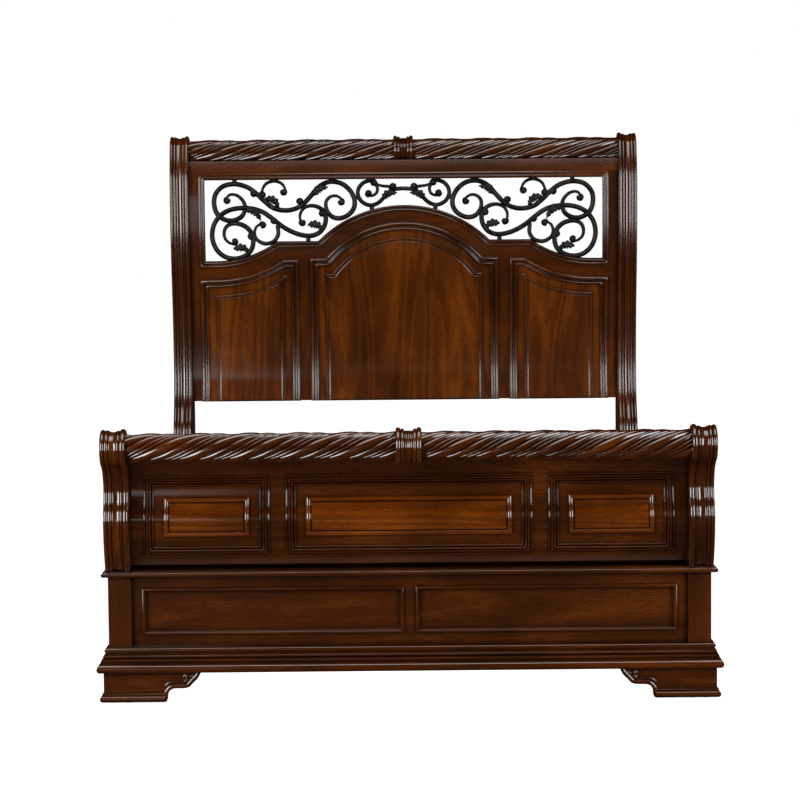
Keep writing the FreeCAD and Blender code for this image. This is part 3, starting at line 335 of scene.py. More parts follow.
class Grain(Enum):
    """Which way the wood's grain runs; the value is the Mapping turn that lays it along local X."""
    ACROSS = (0.0, 0.0, 0.0)
    UPRIGHT = (0.0, math.pi / 2, 0.0)
    LENGTHWISE = (0.0, 0.0, math.pi / 2)


@dataclass(frozen=True)
class LacqueredCherry:
    """Stained cherry under rubbed lacquer: red-brown, with dark glaze and painted shade darkening the grooves
    and corners.
    """
    name: str
    grain: Grain
    dark: str = "#190801"
    body: str = "#3c1902"
    light: str = "#602e04"
    # near-black colour of the glaze, also used as painted shade in corners and grooves
    glaze_and_painted_shade: str = "#060201"
    figure: float = 0.35
    glaze_and_painted_shade_reach: float = 0.016
    coat_roughness: float = 0.15

    def build(self) -> bpy.types.Material:
        """Makes the material.

        Returns:
            The node material.
        """
        material, tree, place = blank_material(self.name)
        along = add(tree, "ShaderNodeMapping", {"Vector": place, "Rotation": self.grain.value}).outputs[0]
        # slow colour drift of the stain, about 140 mm across and 400 mm along the grain
        drift = noise(tree, along, 7.0, 3.0, 0.55, 0.6, along=0.35)
        # growth rings: bands 12 to 30 mm apart, wandering along the board
        ring_noise = noise(tree, along, 5.0, 2.0, wander=0.8, along=0.10)
        rings = maths(tree, "SINE", maths(tree, "MULTIPLY", ring_noise, 58.0))
        # fibres about 2 mm apart and pores about 1 mm; both a little coarser than life so that they show
        fibre = noise(tree, along, 420.0, 4.0, 0.7, along=0.03)
        pores = remap(tree, noise(tree, along, 900.0, 1.0, along=0.06), (0.60, 0.70), (0.0, 1.0))
        calm = maths(tree, "MULTIPLY_ADD", drift, 0.55, 0.22)
        tone = maths(tree, "MULTIPLY_ADD", rings, 0.10 * self.figure, calm)
        tone = maths(tree, "MULTIPLY_ADD", fibre, 0.30, tone)
        colour = ramp(tree, tone, ((0.42, self.dark), (0.66, self.body), (0.92, self.light)))
        colour = mix_colours(tree, pores, colour, self.dark)
        # the glaze stays in corners and grooves, and painted shade darkens them too: ambient occlusion within
        # reach blends the surface towards near-black
        glaze_and_painted_shade = remap(tree, openness(tree, self.glaze_and_painted_shade_reach), (0.40, 0.92), (0.95, 0.0))
        colour = mix_colours(tree, glaze_and_painted_shade, colour, self.glaze_and_painted_shade)
        relief = maths(tree, "SUBTRACT", fibre, pores)
        finish_off(tree, {
            "Base Color": colour, "Roughness": remap(tree, drift, (0.3, 0.7), (0.45, 0.6)), "IOR": 1.5,
            "Specular IOR Level": 0.0, "Coat Weight": 1.0, "Coat Roughness": self.coat_roughness,
            "Coat IOR": 1.75, "Normal": bumps(tree, relief, 0.12, 0.0004)})
        return material


@dataclass(frozen=True)
class PlanedHardwood:
    """Planed poplar with a thin seal: pale, dry and faintly streaked."""
    name: str = "planed_poplar_thin_seal"

    def build(self) -> bpy.types.Material:
        """Makes the material."""
        material, tree, place = blank_material(self.name)
        # streaks of 8 mm with finer fibres in them
        streak = noise(tree, place, 120.0, 6.0, 0.65, along=0.06)
        colour = ramp(tree, streak, ((0.3, "#8a6a45"), (0.55, "#b59468"), (0.8, "#c9ab7e")))
        finish_off(tree, {"Base Color": colour, "Roughness": 0.6, "Normal": bumps(tree, streak, 0.2, 0.0004)})
        return material


@dataclass(frozen=True)
class ForgedIron:
    """Hand-forged iron with dark bronze paint, rubbed lighter on the ridges."""
    name: str = "forged_iron_rubbed_bronze"

    def build(self) -> bpy.types.Material:
        """Makes the material."""
        material, tree, place = blank_material(self.name)
        # hammer marks about 8 mm across, with a fine scale of 1.4 mm in the paint
        marks = add(tree, "ShaderNodeTexVoronoi", {"Vector": place, "Scale": 120.0},
                    feature="SMOOTH_F1").outputs[0]
        scale = noise(tree, place, 700.0, 3.0)
        rub = noise(tree, place, 45.0, 4.0)
        worn = maths(tree, "MULTIPLY", rub, openness(tree, 0.012))
        colour = ramp(tree, worn, ((0.30, "#060504"), (0.48, "#12100d"), (0.62, "#2c2720")))
        height = maths(tree, "MULTIPLY_ADD", scale, 0.3, marks)
        finish_off(tree, {"Base Color": colour, "Metallic": 0.7,
                          "Roughness": remap(tree, rub, (0.3, 0.7), (0.32, 0.55)),
                          "Normal": bumps(tree, height, 0.5, 0.0012)})
        return material


@dataclass(frozen=True)
class ZincPlate:
    """Pressed steel with bright zinc plating: grey with a faint spangle."""
    name: str = "pressed_steel_zinc_plated"

    def build(self) -> bpy.types.Material:
        """Makes the material."""
        material, tree, place = blank_material(self.name)
        # spangle cells of about 5 mm
        spangle = add(tree, "ShaderNodeTexVoronoi", {"Vector": place, "Scale": 200.0}).outputs["Color"]
        level = add(tree, "ShaderNodeSeparateColor", {0: spangle}).outputs[0]
        colour = ramp(tree, level, ((0.0, "#8d9092"), (1.0, "#b3b5b4")))
        finish_off(tree, {"Base Color": colour, "Metallic": 1.0,
                          "Roughness": remap(tree, level, (0.0, 1.0), (0.25, 0.42))})
        return material


@dataclass(frozen=True)
class MouldedNylon:
    """Black moulded nylon with a fine matt grain."""
    name: str = "moulded_nylon_black"

    def build(self) -> bpy.types.Material:
        """Makes the material."""
        material, tree, place = blank_material(self.name)
        # mould grain of 0.8 mm
        grain = noise(tree, place, 1200.0, 2.0)
        colour = ramp(tree, grain, ((0.3, "#0d0d0d"), (0.7, "#1b1b1b")))
        finish_off(tree, {"Base Color": colour, "Roughness": 0.5, "Normal": bumps(tree, grain, 0.3, 0.0002)})
        return material


class Finishes:
    """Every finish of the bed, built once."""

    def __init__(self) -> None:
        """Builds the materials."""
        self.across = LacqueredCherry("stained_cherry_lacquered_across", Grain.ACROSS).build()
        self.upright = LacqueredCherry("stained_cherry_lacquered_upright", Grain.UPRIGHT).build()
        self.lengthwise = LacqueredCherry("stained_cherry_lacquered_lengthwise", Grain.LENGTHWISE).build()
        self.panel = LacqueredCherry("burnished_cherry_veneer_upright", Grain.UPRIGHT, "#1d0902", "#492003",
                                     "#723909", figure=0.5).build()
        self.field = LacqueredCherry("burnished_cherry_veneer_across", Grain.ACROSS, "#240c01", "#542502",
                                     "#804007", figure=0.5).build()
        self.hardwood = PlanedHardwood().build()
        self.iron = ForgedIron().build()
        self.zinc = ZincPlate().build()
        self.nylon = MouldedNylon().build()


def dress(thing: bpy.types.Object, material: bpy.types.Material, slot: str | None = None,
          nodes: Sequence[str] = ()) -> bpy.types.Object:
    """Gives a piece its finish and, when a slot is given, its body, and hides the CAD nodes that it stands for.

    Args:
        thing: the finished piece.
        material: its finish.
        slot: the record's slot, or None for a CAD node.
        nodes: the CAD nodes that it replaces.

    Returns:
        The same piece.
    """
    thing.data.materials.clear()
    thing.data.materials.append(material)
    if slot:
        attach(thing, BODY)
        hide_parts(*nodes)
        log.info("%s: %d faces for %s", thing.name, len(thing.data.polygons), ", ".join(nodes))
    return thing


# ------------------------------------------------------------------ side profiles of the two ends

@dataclass(frozen=True)
class Stretch:
    """An arc of a side profile in (forward, height); bulge is 1 where it swells forward."""
    centre: Pair
    radius: float
    start: float
    end: float
    bulge: int = 1

    def at(self, angle: float, inset: float = 0.0) -> Pair:
        """The point at an angle, moved in by inset."""
        radius = self.radius - self.bulge * inset
        return self.centre[0] + radius * math.cos(angle), self.centre[1] + radius * math.sin(angle)

    def points(self, count: int, inset: float = 0.0) -> list[Pair]:
        """Evenly spaced points from start to end."""
        return [self.at(self.start + (self.end - self.start) * i / count, inset) for i in range(count + 1)]


def towards(origin: Pair, target: Pair) -> float:
    """The angle of the line from one point to another."""
    return math.atan2(target[1] - origin[1], target[0] - origin[0])


def swell(rise: float, step: float) -> float:
    """The radius sum of two arcs that shift a vertical line sideways by step over rise."""
    return (rise ** 2 + step ** 2) / (2 * step)


class SideProfile:
    """What both ends share: a face plane, a front of arcs and a rear line."""
    face: float
    front: list[Stretch]

    def surface(self, height: float, inset: float) -> tuple[Pair, Pair]:
        """The front surface at a height.

        Args:
            height: Z in metres.
            inset: how far behind the outline the surface lies.

        Returns:
            The point (forward, height) and the outward unit normal.
        """
        chosen = None
        for arc in self.front[:-1]:
            ends = sorted((arc.at(arc.start, inset)[1], arc.at(arc.end, inset)[1]))
            if ends[0] - 1e-9 <= height <= ends[1] + 1e-9:
                chosen = arc
                break
        if chosen is None:
            chosen = self.front[0] if height < self.front[1].centre[1] else self.front[-2]
        radius = chosen.radius - chosen.bulge * inset
        rise = max(-radius, min(radius, height - chosen.centre[1]))
        reach = math.sqrt(radius ** 2 - rise ** 2)
        point = (chosen.centre[0] + chosen.bulge * reach, height)
        return point, (reach / radius, chosen.bulge * rise / radius)

    def wrap(self, thing: bpy.types.Object, inset: float) -> None:
        """Lays a flat piece on the curved front.

        Args:
            thing: a mesh whose Y is its height above the surface, outwards.
            inset: where that surface lies behind the outline.
        """
        for vertex in thing.data.vertices:
            rise = vertex.co.y
            (forward, height), (out, up) = self.surface(vertex.co.z, inset)
            vertex.co = (vertex.co.x, self.face - forward - rise * out, height + rise * up)
        pick(thing)
        edit_all(lambda: bpy.ops.mesh.normals_make_consistent(inside=False))

    def place(self, x: float, point: Pair) -> Triple:
        """A profile point at one X in the row frame."""
        return x, self.face - point[0], point[1]


@dataclass
class FootSide(SideProfile):
    """The footboard's side profile above the ledge."""
    face: float = -1.1345
    depth: float = 0.105
    sill: float = 0.380
    sill_forward: float = 0.012
    belly: Pair = (0.050, 0.526)
    neck: Pair = (0.025, 0.611)
    roll: Pair = (0.055, 0.737)
    roll_radius: float = 0.056
    back_straight: float = 0.406
    front: list[Stretch] = field(default_factory=list)

    def __post_init__(self) -> None:
        """Works out the arcs of the front and the back."""
        lower = swell(self.belly[1] - self.sill, self.belly[0] - self.sill_forward)
        reach, rise = self.roll[0] - self.neck[0], self.roll[1] - self.neck[1]
        hollow = (reach ** 2 + rise ** 2 - self.roll_radius ** 2) / (2 * (reach + self.roll_radius))
        upper = swell(self.neck[1] - self.belly[1], self.belly[0] - self.neck[0]) - hollow
        upper_centre = (self.belly[0] - upper, self.belly[1])
        hollow_centre = (self.neck[0] + hollow, self.neck[1])
        turn, leave = towards(upper_centre, hollow_centre), towards(hollow_centre, self.roll)
        across = self.roll[0] + self.depth
        up = self.roll[1] - self.back_straight
        back = (across ** 2 + up ** 2 - self.roll_radius ** 2) / (2 * (across - self.roll_radius))
        back_centre = (back - self.depth, self.back_straight)
        over = towards(back_centre, self.roll)
        self.front = [
            Stretch((self.belly[0] - lower, self.belly[1]), lower,
                    -math.asin((self.belly[1] - self.sill) / lower), 0),
            Stretch(upper_centre, upper, 0, turn),
            Stretch(hollow_centre, hollow, turn + math.pi, leave, -1),
            Stretch(self.roll, self.roll_radius, leave - math.pi, over),
        ]
        self.rear = Stretch(back_centre, back, over, math.pi).points(24) + [(-self.depth, self.sill)]

    def outline(self, inset: float) -> list[Pair]:
        """The whole outline, with its front moved in."""
        counts = (16, 10, 18, 40)
        points = [p for arc, count in zip(self.front, counts) for p in arc.points(count, inset)]
        return points + self.rear


@dataclass
class HeadSide(SideProfile):
    """The headboard's side profile from the floor to the roll."""
    face: float = 1.1335
    floor: float = 0.004
    leg: Pair = (0.065, 0.526)
    hollow_height: float = 0.806
    belly: Pair = (0.060, 1.456)
    roll: Pair = (-0.025, 1.622)
    roll_radius: float = 0.058
    neck: Pair = (-0.048, 1.486)
    back: Pair = (-0.112, 0.866)
    front: list[Stretch] = field(default_factory=list)

    def __post_init__(self) -> None:
        """Works out the arcs of the front and the back."""
        low = swell(self.hollow_height - self.leg[1], self.leg[0])
        heel_centre, hollow_centre = (self.leg[0] - 0.4 * low, self.leg[1]), (0.6 * low, self.hollow_height)
        high = swell(self.belly[1] - self.hollow_height, self.belly[0]) / 2
        rising_centre, belly_centre = (high, self.hollow_height), (self.belly[0] - high, self.belly[1])
        reach, rise = self.belly[0] - self.roll[0], self.roll[1] - self.belly[1]
        crown = (reach ** 2 + rise ** 2 - self.roll_radius ** 2) / (2 * (reach - self.roll_radius))
        crown_centre = (self.belly[0] - crown, self.belly[1])
        drop, lift = self.roll[0] - self.neck[0], self.roll[1] - self.neck[1]
        hollow_back = (drop ** 2 + lift ** 2 - self.roll_radius ** 2) / (2 * (self.roll_radius - drop))
        neck_centre = (self.neck[0] - hollow_back, self.neck[1])
        shift = swell(self.neck[1] - self.back[1], self.neck[0] - self.back[0]) / 2
        upper, lower = (self.neck[0] - shift, self.neck[1]), (self.back[0] + shift, self.back[1])
        turn, rising = towards(heel_centre, hollow_centre), towards(rising_centre, belly_centre)
        top, bend = towards(crown_centre, self.roll), towards(lower, upper)
        self.front = [
            Stretch(heel_centre, 0.4 * low, 0, turn),
            Stretch(hollow_centre, 0.6 * low, turn + math.pi, math.pi, -1),
            Stretch(rising_centre, high, math.pi, rising, -1),
            Stretch(belly_centre, high, rising - math.pi, 0),
            Stretch(crown_centre, crown, 0, top),
            Stretch(self.roll, self.roll_radius, top, towards(self.roll, neck_centre) + 2 * math.pi),
        ]
        self.rear = (Stretch(neck_centre, hollow_back, towards(neck_centre, self.roll), 0).points(8)
                     + Stretch(upper, shift, 0, bend - math.pi).points(10)
                     + Stretch(lower, shift, bend, math.pi).points(10) + [(self.back[0], self.floor)])

    def outline(self, inset: float) -> list[Pair]:
        """The whole outline, with its front moved in."""
        counts = (10, 12, 16, 16, 10, 44)
        points = [(self.leg[0] - inset, self.floor + (self.leg[1] - self.floor) * i / 6) for i in range(6)]
        points += [p for arc, count in zip(self.front, counts) for p in arc.points(count, inset)]
        return points + self.rear


def smooth_line(points: Sequence[Pair], spacing: float = 0.004) -> list[Pair]:
    """A smooth line through points, with even steps along it.

    Args:
        points: (x, z) points that the line passes through.
        spacing: the step in metres.

    Returns:
        The points of the line.
    """
    ends = [(2 * points[0][0] - points[1][0], 2 * points[0][1] - points[1][1])]
    tail = [(2 * points[-1][0] - points[-2][0], 2 * points[-1][1] - points[-2][1])]
    line = ends + list(points) + tail
    dense: list[Pair] = []
    for before, here, after, beyond in zip(line, line[1:], line[2:], line[3:]):
        for i in range(16):
            t = i / 16
            weights = (t * (-1 + t * (2 - t)), 2 + t * t * (3 * t - 5),
                       t * (1 + t * (4 - 3 * t)), t * t * (t - 1))
            dense.append(tuple(sum(w * p[k] for w, p in zip(weights, (before, here, after, beyond))) / 2
                               for k in (0, 1)))
    dense.append(points[-1])
    even, gone = [dense[0]], 0.0
    for low, high in zip(dense, dense[1:]):
        length = math.dist(low, high)
        while length > 0 and gone + length >= spacing:
            share = (spacing - gone) / length
            low = (low[0] + (high[0] - low[0]) * share, low[1] + (high[1] - low[1]) * share)
            even.append(low)
            length, gone = math.dist(low, high), 0.0
        gone += length
    if gone > spacing / 3:
        even.append(dense[-1])
    return even


def rod(name: str, line: Sequence[Pair], girth: Callable[[float], float], y: float, depth: float = 1.0,
        sides: int = 12) -> bpy.types.Object:
    """A round or flattened rod along a line in an upright plane.

    Args:
        name: the piece's name.
        line: (x, z) points of its axis.
        girth: its half width at a distance along the line.
        y: the plane's place.
        depth: its half thickness as a share of its half width.
        sides: the number of faces round it.

    Returns:
        The closed rod.
    """
    rows, gone = [], 0.0
    for i, (x, z) in enumerate(line):
        before, after = line[max(i - 1, 0)], line[min(i + 1, len(line) - 1)]
        length = math.dist(before, after)
        across = ((before[1] - after[1]) / length, (after[0] - before[0]) / length)
        if i:
            gone += math.dist(line[i - 1], (x, z))
        radius = max(girth(gone), 0.0004)
        angles = [math.tau * k / sides for k in range(sides)]
        rows.append([(x + across[0] * radius * math.cos(a), y - depth * radius * math.sin(a),
                      z + across[1] * radius * math.cos(a)) for a in angles])
    return loft(name, rows, angle=50.0)


# ------------------------------------------------------------------ moulding sections

def bead(start: float, width: float, rise: float, base: float = 0.0, count: int = 7) -> list[Pair]:
    """A half-round bead as (distance, height) points.

    Args:
        start: where it starts.
        width: how wide it is.
        rise: its height over the base.
        base: the height that it starts and ends at.
        count: the number of steps.

    Returns:
        The points from side to side.
    """
    angles = [math.pi * i / count for i in range(count + 1)]
    return [(start + width * (1 - math.cos(a)) / 2, base + rise * math.sin(a)) for a in angles]


def hollow(start: float, width: float, depth: float, base: float = 0.0, count: int = 8) -> list[Pair]:
    """A round hollow, as a bead turned inwards."""
    return bead(start, width, -depth, base, count)


def ease_arc(start: Pair, middle: Pair, end: Pair, count: int) -> list[Pair]:
    """Points on the circle through three points, without the first.

    Args:
        start: the first point.
        middle: a point on the arc.
        end: the last point.
        count: the number of steps.

    Returns:
        The points after start.
    """
    (ax, ay), (bx, by), (cx, cy) = start, middle, end
    twist = 2 * (ax * (by - cy) + bx * (cy - ay) + cx * (ay - by))
    ux = ((ax**2 + ay**2) * (by - cy) + (bx**2 + by**2) * (cy - ay) + (cx**2 + cy**2) * (ay - by)) / twist
    uy = ((ax**2 + ay**2) * (cx - bx) + (bx**2 + by**2) * (ax - cx) + (cx**2 + cy**2) * (bx - ax)) / twist
    first, half, last = (math.atan2(p[1] - uy, p[0] - ux) for p in (start, middle, end))
    turn = math.tau
    to_half = (half - first + math.pi) % turn - math.pi
    to_last = to_half + (last - half + math.pi) % turn - math.pi
    radius = math.hypot(ax - ux, ay - uy)
    angles = [first + to_last * i / count for i in range(1, count + 1)]
    return [(ux + radius * math.cos(a), uy + radius * math.sin(a)) for a in angles]


@dataclass(frozen=True)
class Divisions:
    """Where the headboard's frame is divided, in metres."""
    panel_bottom: float = 0.690
    side_outer: float = 0.762
    side_inner: float = 0.392
    centre_half: float = 0.352
    opening_half: float = 0.740
    opening_top: float = 1.517
    opening_end: float = 1.211
    shoulder: float = 1.284
    ogee_start: float = 0.700
    ogee_radius: float = 0.389
    arch_radius: float = 0.451
    arch_centre: float = 0.966
    side_drop: float = 0.066
    arch_drop: float = 0.062

    def ogee(self, drop: float, shoulder: float) -> tuple[float, Pair]:
        """Corner X and middle point of the hollow curve at a drop."""
        radius, centre = self.ogee_radius + drop, self.opening_end + self.ogee_radius
        corner = math.sqrt(radius ** 2 - (centre - shoulder) ** 2)
        half = math.asin(corner / radius) / 2
        return corner, (radius * math.sin(half), centre - radius * math.cos(half))

    def opening(self, outset: float) -> list[Pair]:
        """The grille opening's outline, moved outwards by outset."""
        shoulder, end = self.shoulder - outset, self.opening_end - outset
        radius = self.arch_radius - outset
        half = math.sqrt(radius ** 2 - (shoulder - self.arch_centre) ** 2)
        corner, middle = self.ogee(outset, shoulder)
        side, top, start = self.opening_half + outset, self.opening_top + outset, self.ogee_start
        left = [(-side, top), (-side, end), (-start, end)]
        left += ease_arc((-start, end), (middle[0] - start, middle[1]), (corner - start, shoulder), 14)
        left.append((-half, shoulder))
        arch = ease_arc((-half, shoulder), (0, self.arch_centre + radius), (half, shoulder), 40)
        return left + arch[:-1] + [(-x, z) for x, z in reversed(left)]

    def side_panel(self, inset: float) -> list[Pair]:
        """The left panel's outline from its lower left corner over the head to its lower right."""
        drop = self.side_drop + inset
        shoulder, end = self.shoulder - drop, self.opening_end - drop
        corner, middle = self.ogee(drop, shoulder)
        start, bottom = self.ogee_start, self.panel_bottom
        left, right = inset - self.side_outer, -self.side_inner - inset
        curve = ease_arc((-start, end), (middle[0] - start, middle[1]), (corner - start, shoulder), 14)
        return [(left, bottom), (left, end), (-start, end)] + curve + [(right, shoulder), (right, bottom)]

    def centre_panel(self, inset: float) -> list[Pair]:
        """The middle panel's outline, in the same order."""
        shoulder = self.shoulder - self.arch_drop - inset
        radius = self.arch_radius - self.arch_drop - inset
        half = math.sqrt(radius ** 2 - (shoulder - self.arch_centre) ** 2)
        side, bottom = self.centre_half - inset, self.panel_bottom
        arch = ease_arc((-half, shoulder), (0, self.arch_centre + radius), (half, shoulder), 40)
        left = [(-side, bottom), (-side, shoulder), (-half, shoulder)]
        return left + arch + [(side, shoulder), (side, bottom)]


def flat_rows(outline: Callable[[float], list[Pair]], section: Sequence[Pair]) -> list[list[Triple]]:
    """Rows of a moulding laid flat: X and Z from the outline, Y from the section's height.

    Args:
        outline: gives the outline at an inset.
        section: (inset, height) points.

    Returns:
        One row for each point of the section.
    """
    return [[(x, height, z) for x, z in outline(inset)] for inset, height in section]


def rectangle(low: Pair, high: Pair) -> Callable[[float], list[Pair]]:
    """The outline of an upright rectangle as a function of its inset."""
    def outline(inset: float) -> list[Pair]:
        """The four corners, moved in."""
        left, bottom, right, top = low[0] + inset, low[1] + inset, high[0] - inset, high[1] - inset
        return [(left, bottom), (left, top), (right, top), (right, bottom)]
    return outline


# ------------------------------------------------------------------ sub-assemblies

@dataclass
class Posts:
    """The fluted posts of both ends: pairs of beads on each side of a hollow."""
    head: HeadSide
    foot: FootSide
    finishes: Finishes
    inner: float = 0.797
    head_thickness: float = 0.069
    foot_thickness: float = 0.072
    section_width: float = 0.066

    def section(self) -> list[Pair]:
        """(distance from the outer face, inset) across the post's front, over section_width."""
        points = [(0.0, 0.008)]
        for start, width, rise in ((0.0, 0.0115, 0.006), (0.0115, 0.0105, 0.0045)):
            points += [(a, 0.008 - h) for a, h in bead(start, width, rise)][1:]
        points += [(a, 0.0045 - h) for a, h in hollow(0.0225, 0.0205, 0.0045)]
        points += [(a, 0.008 - h) for a, h in bead(0.043, 0.0075, 0.003)]
        points += [(a, 0.008 - h) for a, h in bead(0.0505, 0.0155, 0.008)]
        return points

    def post(self, name: str, side: SideProfile, thickness: float) -> bpy.types.Object:
        """The left post of one end.

        Args:
            name: the piece's name.
            side: the end's profile.
            thickness: how thick the post is across the bed.

        Returns:
            The post.
        """
        rows = []
        for distance, inset in self.section():
            x = distance * thickness / self.section_width - self.inner - thickness
            rows.append([side.place(x, point) for point in side.outline(inset)])
        return loft(name, rows, angle=40.0)

    def build(self) -> None:
        """Builds the four posts."""
        for end, side, thickness in (("head_post", self.head, self.head_thickness),
                                     ("foot_post_upper", self.foot, self.foot_thickness)):
            left = self.post(f"{end}_left_fluted", side, thickness)
            right = mirror_copy(left, f"{end}_right_fluted")
            for piece, hand in ((left, "left"), (right, "right")):
                dress(piece, self.finishes.upright, "cherry_frame", [f"{end}_{hand}"])


@dataclass
class RopeRoll:
    """A roll along the top of one end: two lengths of carved rope and a turned collar."""
    end: str
    centre: Pair
    lead: float
    finishes: Finishes
    radius: float = 0.043
    root: float = 0.0340
    inner: float = 0.797
    collar_half: float = 0.0365
    strands: int = 3

    def ring(self, x: float, turn: float) -> list[Triple]:
        """One section of the rope.

        Args:
            x: where it lies.
            turn: how far it has twisted.

        Returns:
            Points round the section: a broad strand, a plain one and two cords, for each turn.
        """
        points = []
        step = math.tau / self.strands
        full = self.radius - self.root
        for strand in range(self.strands):
            begin = turn + strand * step
            for part, rise, count in ((0.42, full, 14), (0.28, 0.86 * full, 10), (0.15, 0.6 * full, 7),
                                      (0.15, 0.6 * full, 7)):
                for i in range(count):
                    share = i / count
                    radius = self.root + rise * math.sin(math.pi * share) ** 0.6
                    angle = begin + part * step * share
                    points.append((x, self.centre[0] + radius * math.cos(angle),
                                   self.centre[1] + radius * math.sin(angle)))
                begin += part * step
        return points

    def length(self, name: str, low: float, high: float) -> bpy.types.Object:
        """One length of rope between two X."""
        count = round((high - low) / 0.006)
        rows = []
        for i in range(count + 1):
            x = low + (high - low) * i / count
            rows.append(self.ring(x, -math.tau * (x - low) / self.lead))
        return loft(name, rows, angle=75.0)

    def collar(self, name: str) -> bpy.types.Object:
        """The collar: end beads, steps and a hollow with fine ridges, turned about the roll's axis."""
        half = self.collar_half
        section = [(-half, 0.0)]
        section += [(-half + a, 0.0475 + h) for a, h in bead(0, 0.014, 0.006)]
        section += [(-half + a, 0.0455 + h) for a, h in bead(0.014, 0.010, 0.0045)]
        for ridge in range(5):
            section += [(-half + a, 0.0425 + h) for a, h in bead(0.024 + ridge * 0.005, 0.005, 0.0022, count=5)]
        section += [(-half + a, 0.0455 + h) for a, h in bead(0.049, 0.010, 0.0045)]
        section += [(-half + a, 0.0475 + h) for a, h in bead(0.059, 0.014, 0.006)]
        section.append((half, 0.0))
        angles = [math.tau * i / 64 for i in range(64)]
        rows = [[(x, self.centre[0] + r * math.cos(a), self.centre[1] + r * math.sin(a)) for a in angles]
                for x, r in section]
        return loft(name, rows)

    def build(self) -> None:
        """Builds the two lengths and the collar."""
        for hand, low, high in (("left", -self.inner, -self.collar_half),
                                ("right", self.collar_half, self.inner)):
            rope = self.length(f"{self.end}_rope_{hand}_carved", low, high)
            dress(rope, self.finishes.across, "cherry_frame", [f"{self.end}_rope_{hand}"])
        dress(self.collar(f"{self.end}_collar_turned"), self.finishes.upright, "cherry_frame",
              [f"{self.end}_rope_collar"])


@dataclass
class HeadPanels:
    """The headboard's three veneered panels, their mouldings and the trim of the opening."""
    side: HeadSide
    lines: Divisions
    finishes: Finishes
    frame_setback: float = 0.028
    frame_thickness: float = 0.024
    panel_setback: float = 0.034
    panel_thickness: float = 0.012
    moulding_width: float = 0.030
    field_inset: float = 0.058
    panel_top: float = 1.366
    trim_bottom: float = 1.186
    trim_top: float = 1.541
    step: float = 0.022

    def panel(self, name: str, outline: Callable[[float], list[Pair]]) -> bpy.types.Object:
        """A panel with a bead round its raised field.

        Args:
            name: the piece's name.
            outline: the panel's outline as a function of its inset.

        Returns:
            The panel on the curve.
        """
        section = [(0.0, -self.panel_thickness), (0.0, 0.0), (self.field_inset, 0.0)]
        section += bead(self.field_inset, 0.009, 0.0075, 0.0005)[1:]
        section += hollow(self.field_inset + 0.009, 0.006, 0.0015, 0.003)[1:]
        section.append((self.field_inset + 0.016, 0.004))
        thing = loft(name, flat_rows(outline, section))
        slice_heights(thing, self.lines.panel_bottom, self.panel_top, self.step)
        self.side.wrap(thing, self.panel_setback)
        smooth(thing)
        return thing

    def moulding(self, name: str, outline: Callable[[float], list[Pair]]) -> bpy.types.Object:
        """The two-bead moulding up both sides and over the head of a panel."""
        base, lip = -0.006, 0.002
        section = [(0.0, base), (0.0, lip)]
        section += bead(0.001, 0.012, 0.0065, lip)[1:]
        section += hollow(0.013, 0.008, 0.003, 0.0005)[1:]
        section += bead(0.021, 0.0085, 0.0045, -0.002)[1:]
        section.append((self.moulding_width, base))
        rows = flat_rows(outline, section)
        rows.append(rows[0])
        thing = loft(name, rows, round_row=False)
        slice_heights(thing, self.lines.panel_bottom, self.panel_top, self.step)
        self.side.wrap(thing, self.frame_setback)
        smooth(thing)
        return thing

    def trim(self) -> bpy.types.Object:
        """The moulded lining of the grille opening."""
        back, width = -self.frame_thickness, 0.022
        section = [(0.0, back), (0.0, 0.003)]
        section += bead(0.0, 0.008, 0.005, 0.003)[1:]
        section += hollow(0.008, 0.005, 0.002, 0.003)[1:]
        section += bead(0.013, 0.009, 0.0035, 0.001)[1:]
        section.append((width, back))
        rows = flat_rows(self.lines.opening, section)
        rows.append(rows[0])
        thing = loft("opening_trim_moulded", rows, close=False)
        slice_heights(thing, self.trim_bottom, self.trim_top, self.step)
        self.side.wrap(thing, self.frame_setback)
        smooth(thing)
        return thing

    def build(self) -> None:
        """Builds the panels, mouldings and trim."""
        for kind, maker, material, slot in (
                ("panel", self.panel, self.finishes.panel, "cherry_panel"),
                ("moulding", self.moulding, self.finishes.upright, "cherry_frame")):
            left = maker(f"head_{kind}_left_shaped", self.lines.side_panel)
            right = mirror_copy(left, f"head_{kind}_right_shaped")
            centre = maker(f"head_{kind}_centre_arched", self.lines.centre_panel)
            for piece, hand in ((left, "left"), (right, "right"), (centre, "centre")):
                dress(piece, material, slot, [f"head_{kind}_{hand}"])
        dress(self.trim(), self.finishes.across, "cherry_frame", ["grille_trim"])


